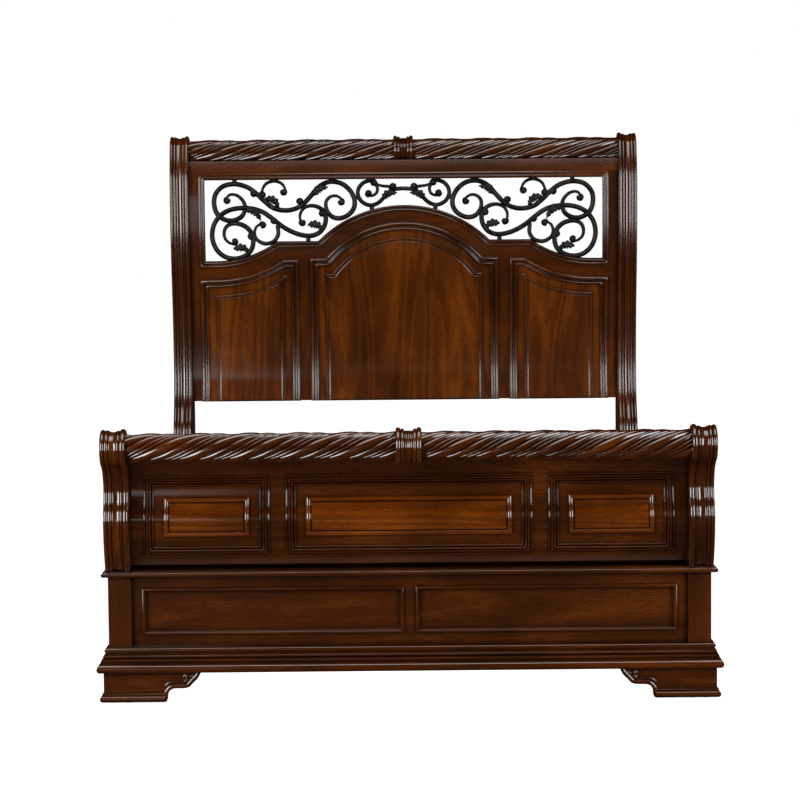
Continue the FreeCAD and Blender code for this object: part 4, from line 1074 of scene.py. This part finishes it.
SCROLLS = {  # (x, z) in millimetres: the left half's scrolls from end to end
    "upper": [(-646, 1430), (-659, 1444), (-645, 1461), (-618, 1457), (-596, 1435), (-590, 1408), (-603, 1380),
              (-634, 1365), (-667, 1369), (-695, 1392), (-705, 1429), (-698, 1465), (-669, 1493), (-625, 1500),
              (-581, 1488), (-547, 1464), (-518, 1436), (-486, 1411), (-447, 1401), (-409, 1405), (-377, 1421),
              (-349, 1449), (-323, 1479), (-298, 1498), (-266, 1506), (-229, 1498), (-199, 1473), (-183, 1440),
              (-185, 1408), (-205, 1383), (-236, 1370), (-266, 1376), (-285, 1399), (-289, 1429), (-274, 1449),
              (-250, 1453), (-231, 1439), (-236, 1417)],
    "lower": [(-620, 1296), (-640, 1279), (-664, 1295), (-669, 1323), (-656, 1346), (-628, 1354), (-594, 1345),
              (-570, 1322), (-561, 1291), (-568, 1257), (-591, 1234), (-627, 1223), (-666, 1230), (-696, 1255),
              (-712, 1292), (-712, 1331), (-699, 1364), (-673, 1391), (-640, 1406), (-600, 1411), (-558, 1407),
              (-522, 1394), (-489, 1371), (-457, 1345), (-420, 1323), (-381, 1309), (-345, 1306), (-314, 1318),
              (-295, 1344), (-290, 1374), (-300, 1399), (-323, 1414), (-350, 1417), (-374, 1406), (-386, 1382),
              (-381, 1357), (-364, 1352)],
    "ring": [(-516, 1337), (-530, 1350), (-549, 1340), (-556, 1315), (-545, 1291), (-516, 1278), (-485, 1286),
             (-468, 1312), (-470, 1346)],
    "hook": [(-524, 1446), (-525, 1476), (-511, 1500), (-482, 1510), (-454, 1501), (-441, 1479), (-454, 1457)],
    "centre": [(-119, 1469), (-132, 1458), (-118, 1452), (-101, 1462), (-97, 1481), (-106, 1499), (-125, 1508),
               (-150, 1500), (-167, 1479), (-169, 1454), (-154, 1430), (-125, 1417), (-96, 1425), (-74, 1444),
               (-54, 1464), (-30, 1476), (0, 1479)],
    "branch": [(-122, 1508), (-102, 1497), (-81, 1489), (-56, 1486), (-38, 1476)],
}
BUDS = [((-570, 1459), (-550, 1467)), ((-388, 1448), (-384, 1417)), ((-497, 1360), (-480, 1364)),
        ((-583, 1305), (-563, 1306)), ((-317, 1387), (-297, 1390)), ((-41, 1500), (-38, 1478))]
LEAVES = [((-516, 1447), (-462, 1410)), ((-336, 1454), (-278, 1486)), ((-594, 1409), (-530, 1362)),
          ((-636, 1260), (-574, 1246)), ((-358, 1347), (-299, 1326)), ((-80, 1440), (-22, 1462))]
STUBS = [(-628, 1498, 1523), (-266, 1500, 1523), (-482, 1504, 1523), (-127, 1502, 1523), (-356, 1312, 1278),
         (-628, 1229, 1212), (-118, 1423, 1395), (-177, 1438, 1454)]


def metres(points: Iterable[Pair]) -> list[Pair]:
    """Points in millimetres turned into metres."""
    return [(x / 1000, z / 1000) for x, z in points]


@dataclass
class Grille:
    """The forged scroll grille: tapering round bars with bulb ends, buds and notched leaves."""
    finishes: Finishes
    y: float = 1.1235
    bar: float = 0.0092
    thin: float = 0.0078
    bulb: float = 0.0135

    def scroll(self, name: str, points: Sequence[Pair], both: bool) -> bpy.types.Object:
        """One scroll with a bulb at its first end, and at its last end if both is true."""
        line = smooth_line(metres(points), 0.0035)
        total = sum(math.dist(a, b) for a, b in zip(line, line[1:]))
        thick = self.bar if total > 0.8 else self.thin

        def girth(gone: float) -> float:
            """Bulbs at the ends and a bar that thins towards them."""
            ends = [gone] + ([total - gone] if both else [])
            body = min(thick, 0.0042 + 0.030 * min(ends))
            for end in ends:
                if end < 2 * self.bulb:
                    body = max(body if end > self.bulb else 0.0,
                               math.sqrt(max(self.bulb ** 2 - (end - self.bulb) ** 2, 0.0)))
            return body
        return rod(name, line, girth, self.y)

    def leaf(self, base: Pair, tip: Pair, number: int) -> bpy.types.Object:
        """A pointed leaf with notched edges that bends over the bar."""
        (x0, z0), (x1, z1) = metres((base, tip))
        bend = 0.18
        middle = ((x0 + x1) / 2 - (z1 - z0) * bend, (z0 + z1) / 2 + (x1 - x0) * bend)
        line = smooth_line([(x0, z0), middle, (x1, z1)], 0.0012)
        total = sum(math.dist(a, b) for a, b in zip(line, line[1:]))

        def girth(gone: float) -> float:
            """A swelling outline with five lobes."""
            share = min(gone / total, 1.0)
            lobes = 0.62 + 0.38 * abs(math.cos(5 * math.pi * share))
            return 0.0165 * math.sin(math.pi * share ** 0.8) ** 0.8 * lobes
        return rod(f"leaf_{number}", line, girth, self.y - 0.004, 0.45)

    def build(self) -> None:
        """Builds the left half, mirrors it and joins everything into one welded piece."""
        half = [self.scroll(f"scroll_{name}", points, name in ("upper", "lower", "hook"))
                for name, points in SCROLLS.items()]
        for number, (head, root) in enumerate(BUDS):
            middle = ((head[0] + root[0]) / 2, (head[1] + root[1]) / 2)
            half.append(self.scroll(f"bud_{number}", [head, middle, root], False))
        for number, (base, tip) in enumerate(LEAVES):
            half.append(self.leaf(base, tip, number))
        for number, (x, low, high) in enumerate(STUBS):
            ends = metres([(x, low), (x, (low + high) / 2), (x, high)])
            half.append(rod(f"lug_{number}", ends, lambda gone: 0.0085, self.y, 0.8))
        left = join("grille_left_half", half)
        right = mirror_copy(left, "grille_right_half")
        whole = join("iron_grille_forged", [left, right])
        dress(whole, self.finishes.iron, "wrought_iron", ["iron_grille"])


@dataclass
class Footboard:
    """Frames and raised fields of the footboard, on its swelling upper part and on its flat lower part."""
    side: FootSide
    finishes: Finishes
    setback: float = 0.045
    bottom: float = 0.419
    top: float = 0.651
    field_top: float = 0.587
    moulding_width: float = 0.030
    field_inset: float = 0.058
    lower_face: float = -1.1185
    lower_bottom: float = 0.192
    lower_top: float = 0.328
    lower_width: float = 0.015

    def laid(self, name: str, low: Pair, high: Pair, section: Sequence[Pair], ring: bool) -> bpy.types.Object:
        """A flat rectangular moulding or field, bent onto the swelling front.

        Args:
            name: the piece's name.
            low: its lower left corner.
            high: its upper right corner.
            section: (inset, height) points from its outer edge inwards.
            ring: True for a frame, False for a closed field.

        Returns:
            The piece.
        """
        rows = flat_rows(rectangle(low, high), section)
        if ring:
            rows.append(rows[0])
        thing = loft(name, rows, close=not ring)
        slice_heights(thing, low[1], high[1], 0.006)
        self.side.wrap(thing, self.setback)
        smooth(thing)
        return thing

    def upper(self) -> None:
        """The three upper frames with two beads each, and the fields inside them."""
        frame_section = [(0.0, -0.001), (0.0, 0.002)] + bead(0.0, 0.005, 0.0025, 0.002)[1:]
        frame_section += [(0.0062, 0.0015)] + bead(0.0075, 0.007, 0.0055, 0.002)[1:]
        frame_section += bead(0.0145, 0.007, 0.0055, 0.002)[1:] + [(0.0222, 0.0005)]
        frame_section += bead(0.0235, 0.006, 0.0045, 0.0005)[1:] + [(self.moulding_width, -0.001)]
        field_section = [(0.0, -0.001), (0.0, 0.001)] + bead(0.0, 0.014, 0.0065, 0.001)[1:]
        field_section += [(0.0155, 0.0015), (0.017, 0.004)]
        for hand, low, high in (("left", -0.758, -0.398), ("centre", -0.352, 0.352), ("right", 0.398, 0.758)):
            thing = self.laid(f"foot_upper_frame_{hand}", (low, self.bottom), (high, self.top), frame_section,
                              True)
            dress(thing, self.finishes.across, "cherry_frame", [f"foot_upper_moulding_{hand}"])
            inset = self.field_inset
            thing = self.laid(f"foot_raised_field_{hand}", (low + inset, self.bottom + inset),
                              (high - inset, self.field_top), field_section, False)
            dress(thing, self.finishes.field, "cherry_panel", [f"foot_field_{hand}"])

    def lower(self) -> None:
        """The two flat frames: a bead outside and a narrow step inside."""
        section = [(0.0, -0.008), (0.0, 0.001)] + bead(0.0, 0.009, 0.005, 0.001)[1:]
        section += [(0.0095, -0.002), (0.011, -0.004), (0.0145, -0.0045), (self.lower_width, -0.008)]
        low, high = (-0.768, self.lower_bottom), (-0.016, self.lower_top)
        rows = [[(x, self.lower_face - height, z) for x, height, z in row]
                for row in flat_rows(rectangle(low, high), section)]
        left = loft("foot_lower_frame_left", rows + rows[:1], close=False)
        right = mirror_copy(left, "foot_lower_frame_right")
        for piece, hand in ((left, "left"), (right, "right")):
            dress(piece, self.finishes.across, "cherry_frame", [f"foot_lower_moulding_{hand}"])

    def build(self) -> None:
        """Builds the upper and lower pieces."""
        self.upper()
        self.lower()


@dataclass
class Plinth:
    """The round-nosed ledge and the stepped base moulding, both returned along the sides."""
    finishes: Finishes
    outer: float = 0.863
    face: float = -1.1345
    rear: float = -1.0295

    def ledge(self) -> bpy.types.Object:
        """The ledge: a plank with a small bead over a round nose."""
        section = [(0.001, 0.363), (0.009, 0.3632)]
        section += ease_arc((0.009, 0.3632), (0.018, 0.3705), (0.011, 0.3765), 12)
        section += [(0.0105, 0.3772)] + ease_arc((0.0105, 0.3772), (0.0108, 0.3792), (0.009, 0.380), 4)
        section.append((0.0, 0.380))
        rows = []
        for out, z in section:
            x, y = self.outer + out, self.face - out
            rows.append([(-x, self.rear, z), (-x, y, z), (x, y, z), (x, self.rear, z)])
        return loft("foot_ledge_round_nosed", rows)

    def base(self) -> bpy.types.Object:
        """The base moulding: three beads, a hollow and a deep torus, mitred at the corners."""
        section = [(0.0, 0.158), (0.0075, 0.158)]
        section += ease_arc((0.0075, 0.158), (0.0118, 0.1515), (0.0072, 0.145), 8)
        section += [(0.0070, 0.1440), (0.0085, 0.1405), (0.0115, 0.1390)]
        section += ease_arc((0.0115, 0.1390), (0.0158, 0.1350), (0.0125, 0.1312), 6) + [(0.0112, 0.1285)]
        section += [(0.0150, 0.1275)] + ease_arc((0.0150, 0.1275), (0.0212, 0.1235), (0.0170, 0.1195), 6)
        section += ease_arc((0.0160, 0.1185), (0.0190, 0.1150), (0.0255, 0.1135), 6) + [(0.0255, 0.1120)]
        section += ease_arc((0.0255, 0.1120), (0.0330, 0.1035), (0.0272, 0.0895), 12)
        section += [(0.0250, 0.0890), (0.0, 0.0890)]
        rows = []
        for corner_x, corner_y, out_x, out_y in ((-1, 0, 1, 0), (-1, 1, 1, 1), (1, 1, 1, 1), (1, 0, 1, 0)):
            y = self.face if corner_y else self.rear
            rows.append([(corner_x * (self.outer + out * out_x), y - out * out_y, z) for out, z in section])
        return loft("foot_base_moulding_mitred", rows)

    def build(self) -> None:
        """Builds both pieces."""
        dress(self.ledge(), self.finishes.across, "cherry_frame", ["foot_waist_ledge"])
        dress(self.base(), self.finishes.across, "cherry_frame", ["foot_base_moulding"])


@dataclass
class BracketFeet:
    """The two bracket feet: a scrolled front with a carved band and volute, and a base bead."""
    finishes: Finishes
    outer: float = -0.878
    front: float = -1.1495
    rear: float = -1.0295
    low: float = 0.004
    high: float = 0.089
    thickness: float = 0.022
    toe: float = -0.702
    return_inner: float = -0.797
    volute: Pair = (-0.6347, 0.0728)

    def board(self) -> bpy.types.Object:
        """The front board, sawn to its scrolled outline."""
        outline = [(self.outer, self.low), (self.toe + 0.002, self.low), (-0.697, 0.008), (-0.6955, 0.020)]
        outline += smooth_line([(-0.6955, 0.022), (-0.6917, 0.032), (-0.6835, 0.040), (-0.672, 0.0425),
                                (-0.656, 0.0425), (-0.640, 0.0440), (-0.631, 0.0480), (-0.6217, 0.0578),
                                (-0.611, 0.0680), (-0.605, 0.0760), (-0.601, 0.0850), (-0.600, 0.0888)], 0.004)
        outline.append((self.outer, self.high))
        deselect()
        bpy.ops.mesh.primitive_circle_add(vertices=len(outline), fill_type="NGON")
        thing = bpy.context.object
        for vertex, (x, z) in zip(thing.data.vertices, outline):
            vertex.co = (x, self.front, z)
        move = {"value": (0, self.thickness, 0)}
        edit_all(lambda: bpy.ops.mesh.extrude_region_move(TRANSFORM_OT_translate=move),
                 lambda: bpy.ops.mesh.normals_make_consistent(inside=False))
        smooth(thing)
        return thing

    def carving(self) -> list[bpy.types.Object]:
        """The rolled band along the sawn edge, the ridge above it and the volute with its eye."""
        band = smooth_line([(-0.7035, 0.0125), (-0.7020, 0.024), (-0.6980, 0.035), (-0.6880, 0.0455),
                            (-0.6740, 0.0500), (-0.6570, 0.0500), (-0.6430, 0.0512), (-0.6345, 0.0550),
                            (-0.6265, 0.0640), (-0.6170, 0.0735), (-0.6105, 0.0815), (-0.6075, 0.0862)], 0.003)
        ridge = smooth_line([(-0.7080, 0.0400), (-0.7000, 0.0520), (-0.6880, 0.0595), (-0.6740, 0.0615),
                             (-0.6600, 0.0600), (-0.6490, 0.0585)], 0.003)
        spiral = []
        for i in range(60):
            angle, radius = math.radians(232 - 600 * i / 59), 0.0150 - 0.0105 * i / 59
            spiral.append((self.volute[0] + radius * math.cos(angle),
                           self.volute[1] + radius * math.sin(angle)))
        lobe = smooth_line([(-0.6215, 0.0850), (-0.6175, 0.0790), (-0.6130, 0.0835)], 0.002)
        y = self.front + 0.001
        return [rod("band", band, lambda gone: min(0.0068, 0.004 + 0.5 * gone), y, 0.95),
                rod("ridge", ridge, lambda gone: min(0.0042, 0.0012 + 0.15 * gone), y, 1.1),
                rod("spiral", spiral, lambda gone: 0.0042 - 0.010 * gone, y, 1.6),
                rod("lobe", lobe, lambda gone: 0.0022, y, 1.0)]

    def corner(self) -> bpy.types.Object:
        """The side return with its glue block behind the front board."""
        low = (self.outer, self.front + self.thickness, self.low)
        return block("return", low, (self.return_inner, self.rear, self.high), 0.0012)

    def bead(self) -> bpy.types.Object:
        """The base bead: a fillet and a torus, mitred round the outer corner."""
        section = [(-0.001, 0.0285), (0.0025, 0.0285)]
        section += ease_arc((0.0025, 0.0285), (0.0050, 0.0262), (0.0035, 0.0235), 5)
        section += [(0.0032, 0.0222), (0.0058, 0.0215)]
        section += ease_arc((0.0058, 0.0215), (0.0108, 0.0140), (0.0062, 0.0050), 10)
        section += [(0.0045, 0.0040), (-0.001, 0.0040)]
        rows = [[(x - out * side, y - out * ahead, z) for out, z in section]
                for x, y, side, ahead in ((self.toe, self.front, 0, 1), (self.outer, self.front, 1, 1),
                                          (self.outer, self.rear, 1, 0))]
        return loft("bead", rows)

    def build(self) -> None:
        """Builds the left foot, then the right one from it."""
        left = join("foot_bracket_left_carved", [self.board(), *self.carving(), self.corner(), self.bead()])
        right = mirror_copy(left, "foot_bracket_right_carved")
        for piece, hand in ((left, "left"), (right, "right")):
            dress(piece, self.finishes.across, "cherry_frame", [f"foot_bracket_{hand}"])


@dataclass
class Rails:
    """The long side rails, with eased edges."""
    finishes: Finishes
    ease: float = 0.003

    def build(self) -> None:
        """Builds each rail over the box of its node."""
        for node in ("side_rail_left", "side_rail_right"):
            low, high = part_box(node)
            rail = block(f"{node}_eased", tuple(low), tuple(high), self.ease)
            dress(rail, self.finishes.lengthwise, "cherry_frame", [node])


def main() -> None:
    """Builds every piece in order."""
    logging.basicConfig(level=logging.INFO, format="%(name)s %(message)s")
    finishes = Finishes()
    slots = {"cherry_frame": finishes.across, "cherry_panel": finishes.panel,
             "plain_hardwood": finishes.hardwood, "wrought_iron": finishes.iron,
             "zinc_steel": finishes.zinc, "glide_plastic": finishes.nylon}
    upright = ("head_stile", "head_mullion", "foot_post_lower", "head_post", "foot_post_upper")
    for entry in frame["record"]["subparts"]:
        node = frame["nodes"][entry["node"]]
        material = slots[entry["material_slot"]]
        if entry["node"].startswith(upright):
            material = finishes.upright
        if entry["node"].startswith("side_rail"):
            material = finishes.lengthwise
        dress(node, material)
    head, foot = HeadSide(), FootSide()
    Posts(head, foot, finishes).build()
    RopeRoll("head", (1.1585, 1.622), 0.540, finishes).build()
    RopeRoll("foot", (-1.1895, 0.737), 0.420, finishes).build()
    HeadPanels(head, Divisions(), finishes).build()
    Grille(finishes).build()
    Footboard(foot, finishes).build()
    Plinth(finishes).build()
    BracketFeet(finishes).build()
    Rails(finishes).build()
    stage()


def light_for(tree: bpy.types.NodeTree, camera: float, glossy: float, other: float) -> bpy.types.NodeSocket:
    """A strength that depends on who sees it, so that the lacquer mirrors the lamps and not the white room.

    Args:
        tree: the node tree.
        camera: the strength for the camera.
        glossy: the strength for reflections.
        other: the strength as plain light.

    Returns:
        The value socket.
    """
    path = add(tree, "ShaderNodeLightPath")
    first = maths(tree, "MULTIPLY_ADD", path.outputs["Is Camera Ray"], camera - other, other)
    return maths(tree, "MULTIPLY_ADD", path.outputs["Is Glossy Ray"], glossy - other, first)


def stage() -> None:
    """The pale floor, the soft studio lights and the camera."""
    deselect()
    bpy.ops.mesh.primitive_plane_add(size=60)
    floor = bpy.context.object
    floor.name = "studio_floor"
    paper = bpy.data.materials.new("matt_white_backdrop_paper")
    paper.use_nodes = True
    tree = paper.node_tree
    tree.nodes.clear()
    tone = add(tree, "ShaderNodeTexNoise", {"Scale": 3.0}).outputs[0]
    colour = ramp(tree, tone, ((0.3, "#b8b8b8"), (0.7, "#bebebe")))
    glow = light_for(tree, camera=0.93, glossy=0.0, other=0.0)
    shader = add(tree, "ShaderNodeBsdfPrincipled", {"Base Color": colour, "Roughness": 0.9,
                                                    "Emission Color": (1, 1, 1, 1), "Emission Strength": glow})
    dark = add(tree, "ShaderNodeEmission", {"Color": (0.012, 0.011, 0.011, 1.0)})
    path = add(tree, "ShaderNodeLightPath")
    either = add(tree, "ShaderNodeMixShader", {0: path.outputs["Is Glossy Ray"], 1: shader.outputs[0],
                                               2: dark.outputs[0]})
    add(tree, "ShaderNodeOutputMaterial", {"Surface": either.outputs[0]})
    floor.data.materials.append(paper)
    world = bpy.data.worlds.new("studio")
    world.use_nodes = True
    world.node_tree.nodes["Background"].inputs["Color"].default_value = (1, 1, 1, 1)
    world.node_tree.links.new(light_for(world.node_tree, camera=1.0, glossy=0.0, other=0.30),
                              world.node_tree.nodes["Background"].inputs["Strength"])
    bpy.context.scene.world = world
    for name, where, turn, size, power in (
            ("overhead_soft_box", (0.0, -1.6, 3.9), (14.0, 0.0), (3.4, 2.2), 85.0),
            ("left_wide_soft_box", (-3.4, -3.6, 1.7), (84.0, -44.0), (2.2, 2.6), 190.0),
            ("right_wide_soft_box", (3.4, -3.6, 1.7), (84.0, 44.0), (2.0, 2.6), 150.0),
            ("low_left_reflector", (-1.75, -7.3, 0.8), (90.0, -12.0), (1.5, 1.5), 5.0)):
        angles = (math.radians(turn[0]), 0, math.radians(turn[1]))
        bpy.ops.object.light_add(type="AREA", location=where, rotation=angles)
        lamp = bpy.context.object
        lamp.name = name
        lamp.data.shape = "RECTANGLE"
        lamp.data.size, lamp.data.size_y = size
        lamp.data.energy = power
    pitch, roll, yaw = 0.077, 0.009, 0.0013
    forward = Vector((math.sin(yaw) * math.cos(pitch), math.cos(yaw) * math.cos(pitch), -math.sin(pitch)))
    above = Vector((math.sin(yaw) * math.sin(pitch), math.cos(yaw) * math.sin(pitch), math.cos(pitch)))
    right = Vector((math.cos(yaw), -math.sin(yaw), 0))
    side = math.cos(roll) * right - math.sin(roll) * above
    up = math.sin(roll) * right + math.cos(roll) * above
    bpy.ops.object.camera_add()
    camera = bpy.context.object
    camera.matrix_world = Matrix.Translation((-0.0321, -8.2641, 1.4136)) @ Matrix(
        (side, up, -forward)).transposed().to_4x4()
    camera.data.lens = 113.17
    camera.data.sensor_width = 36
    bpy.context.scene.camera = camera
    bpy.context.scene.view_settings.view_transform = "Standard"


if __name__ == "__main__":
    main()
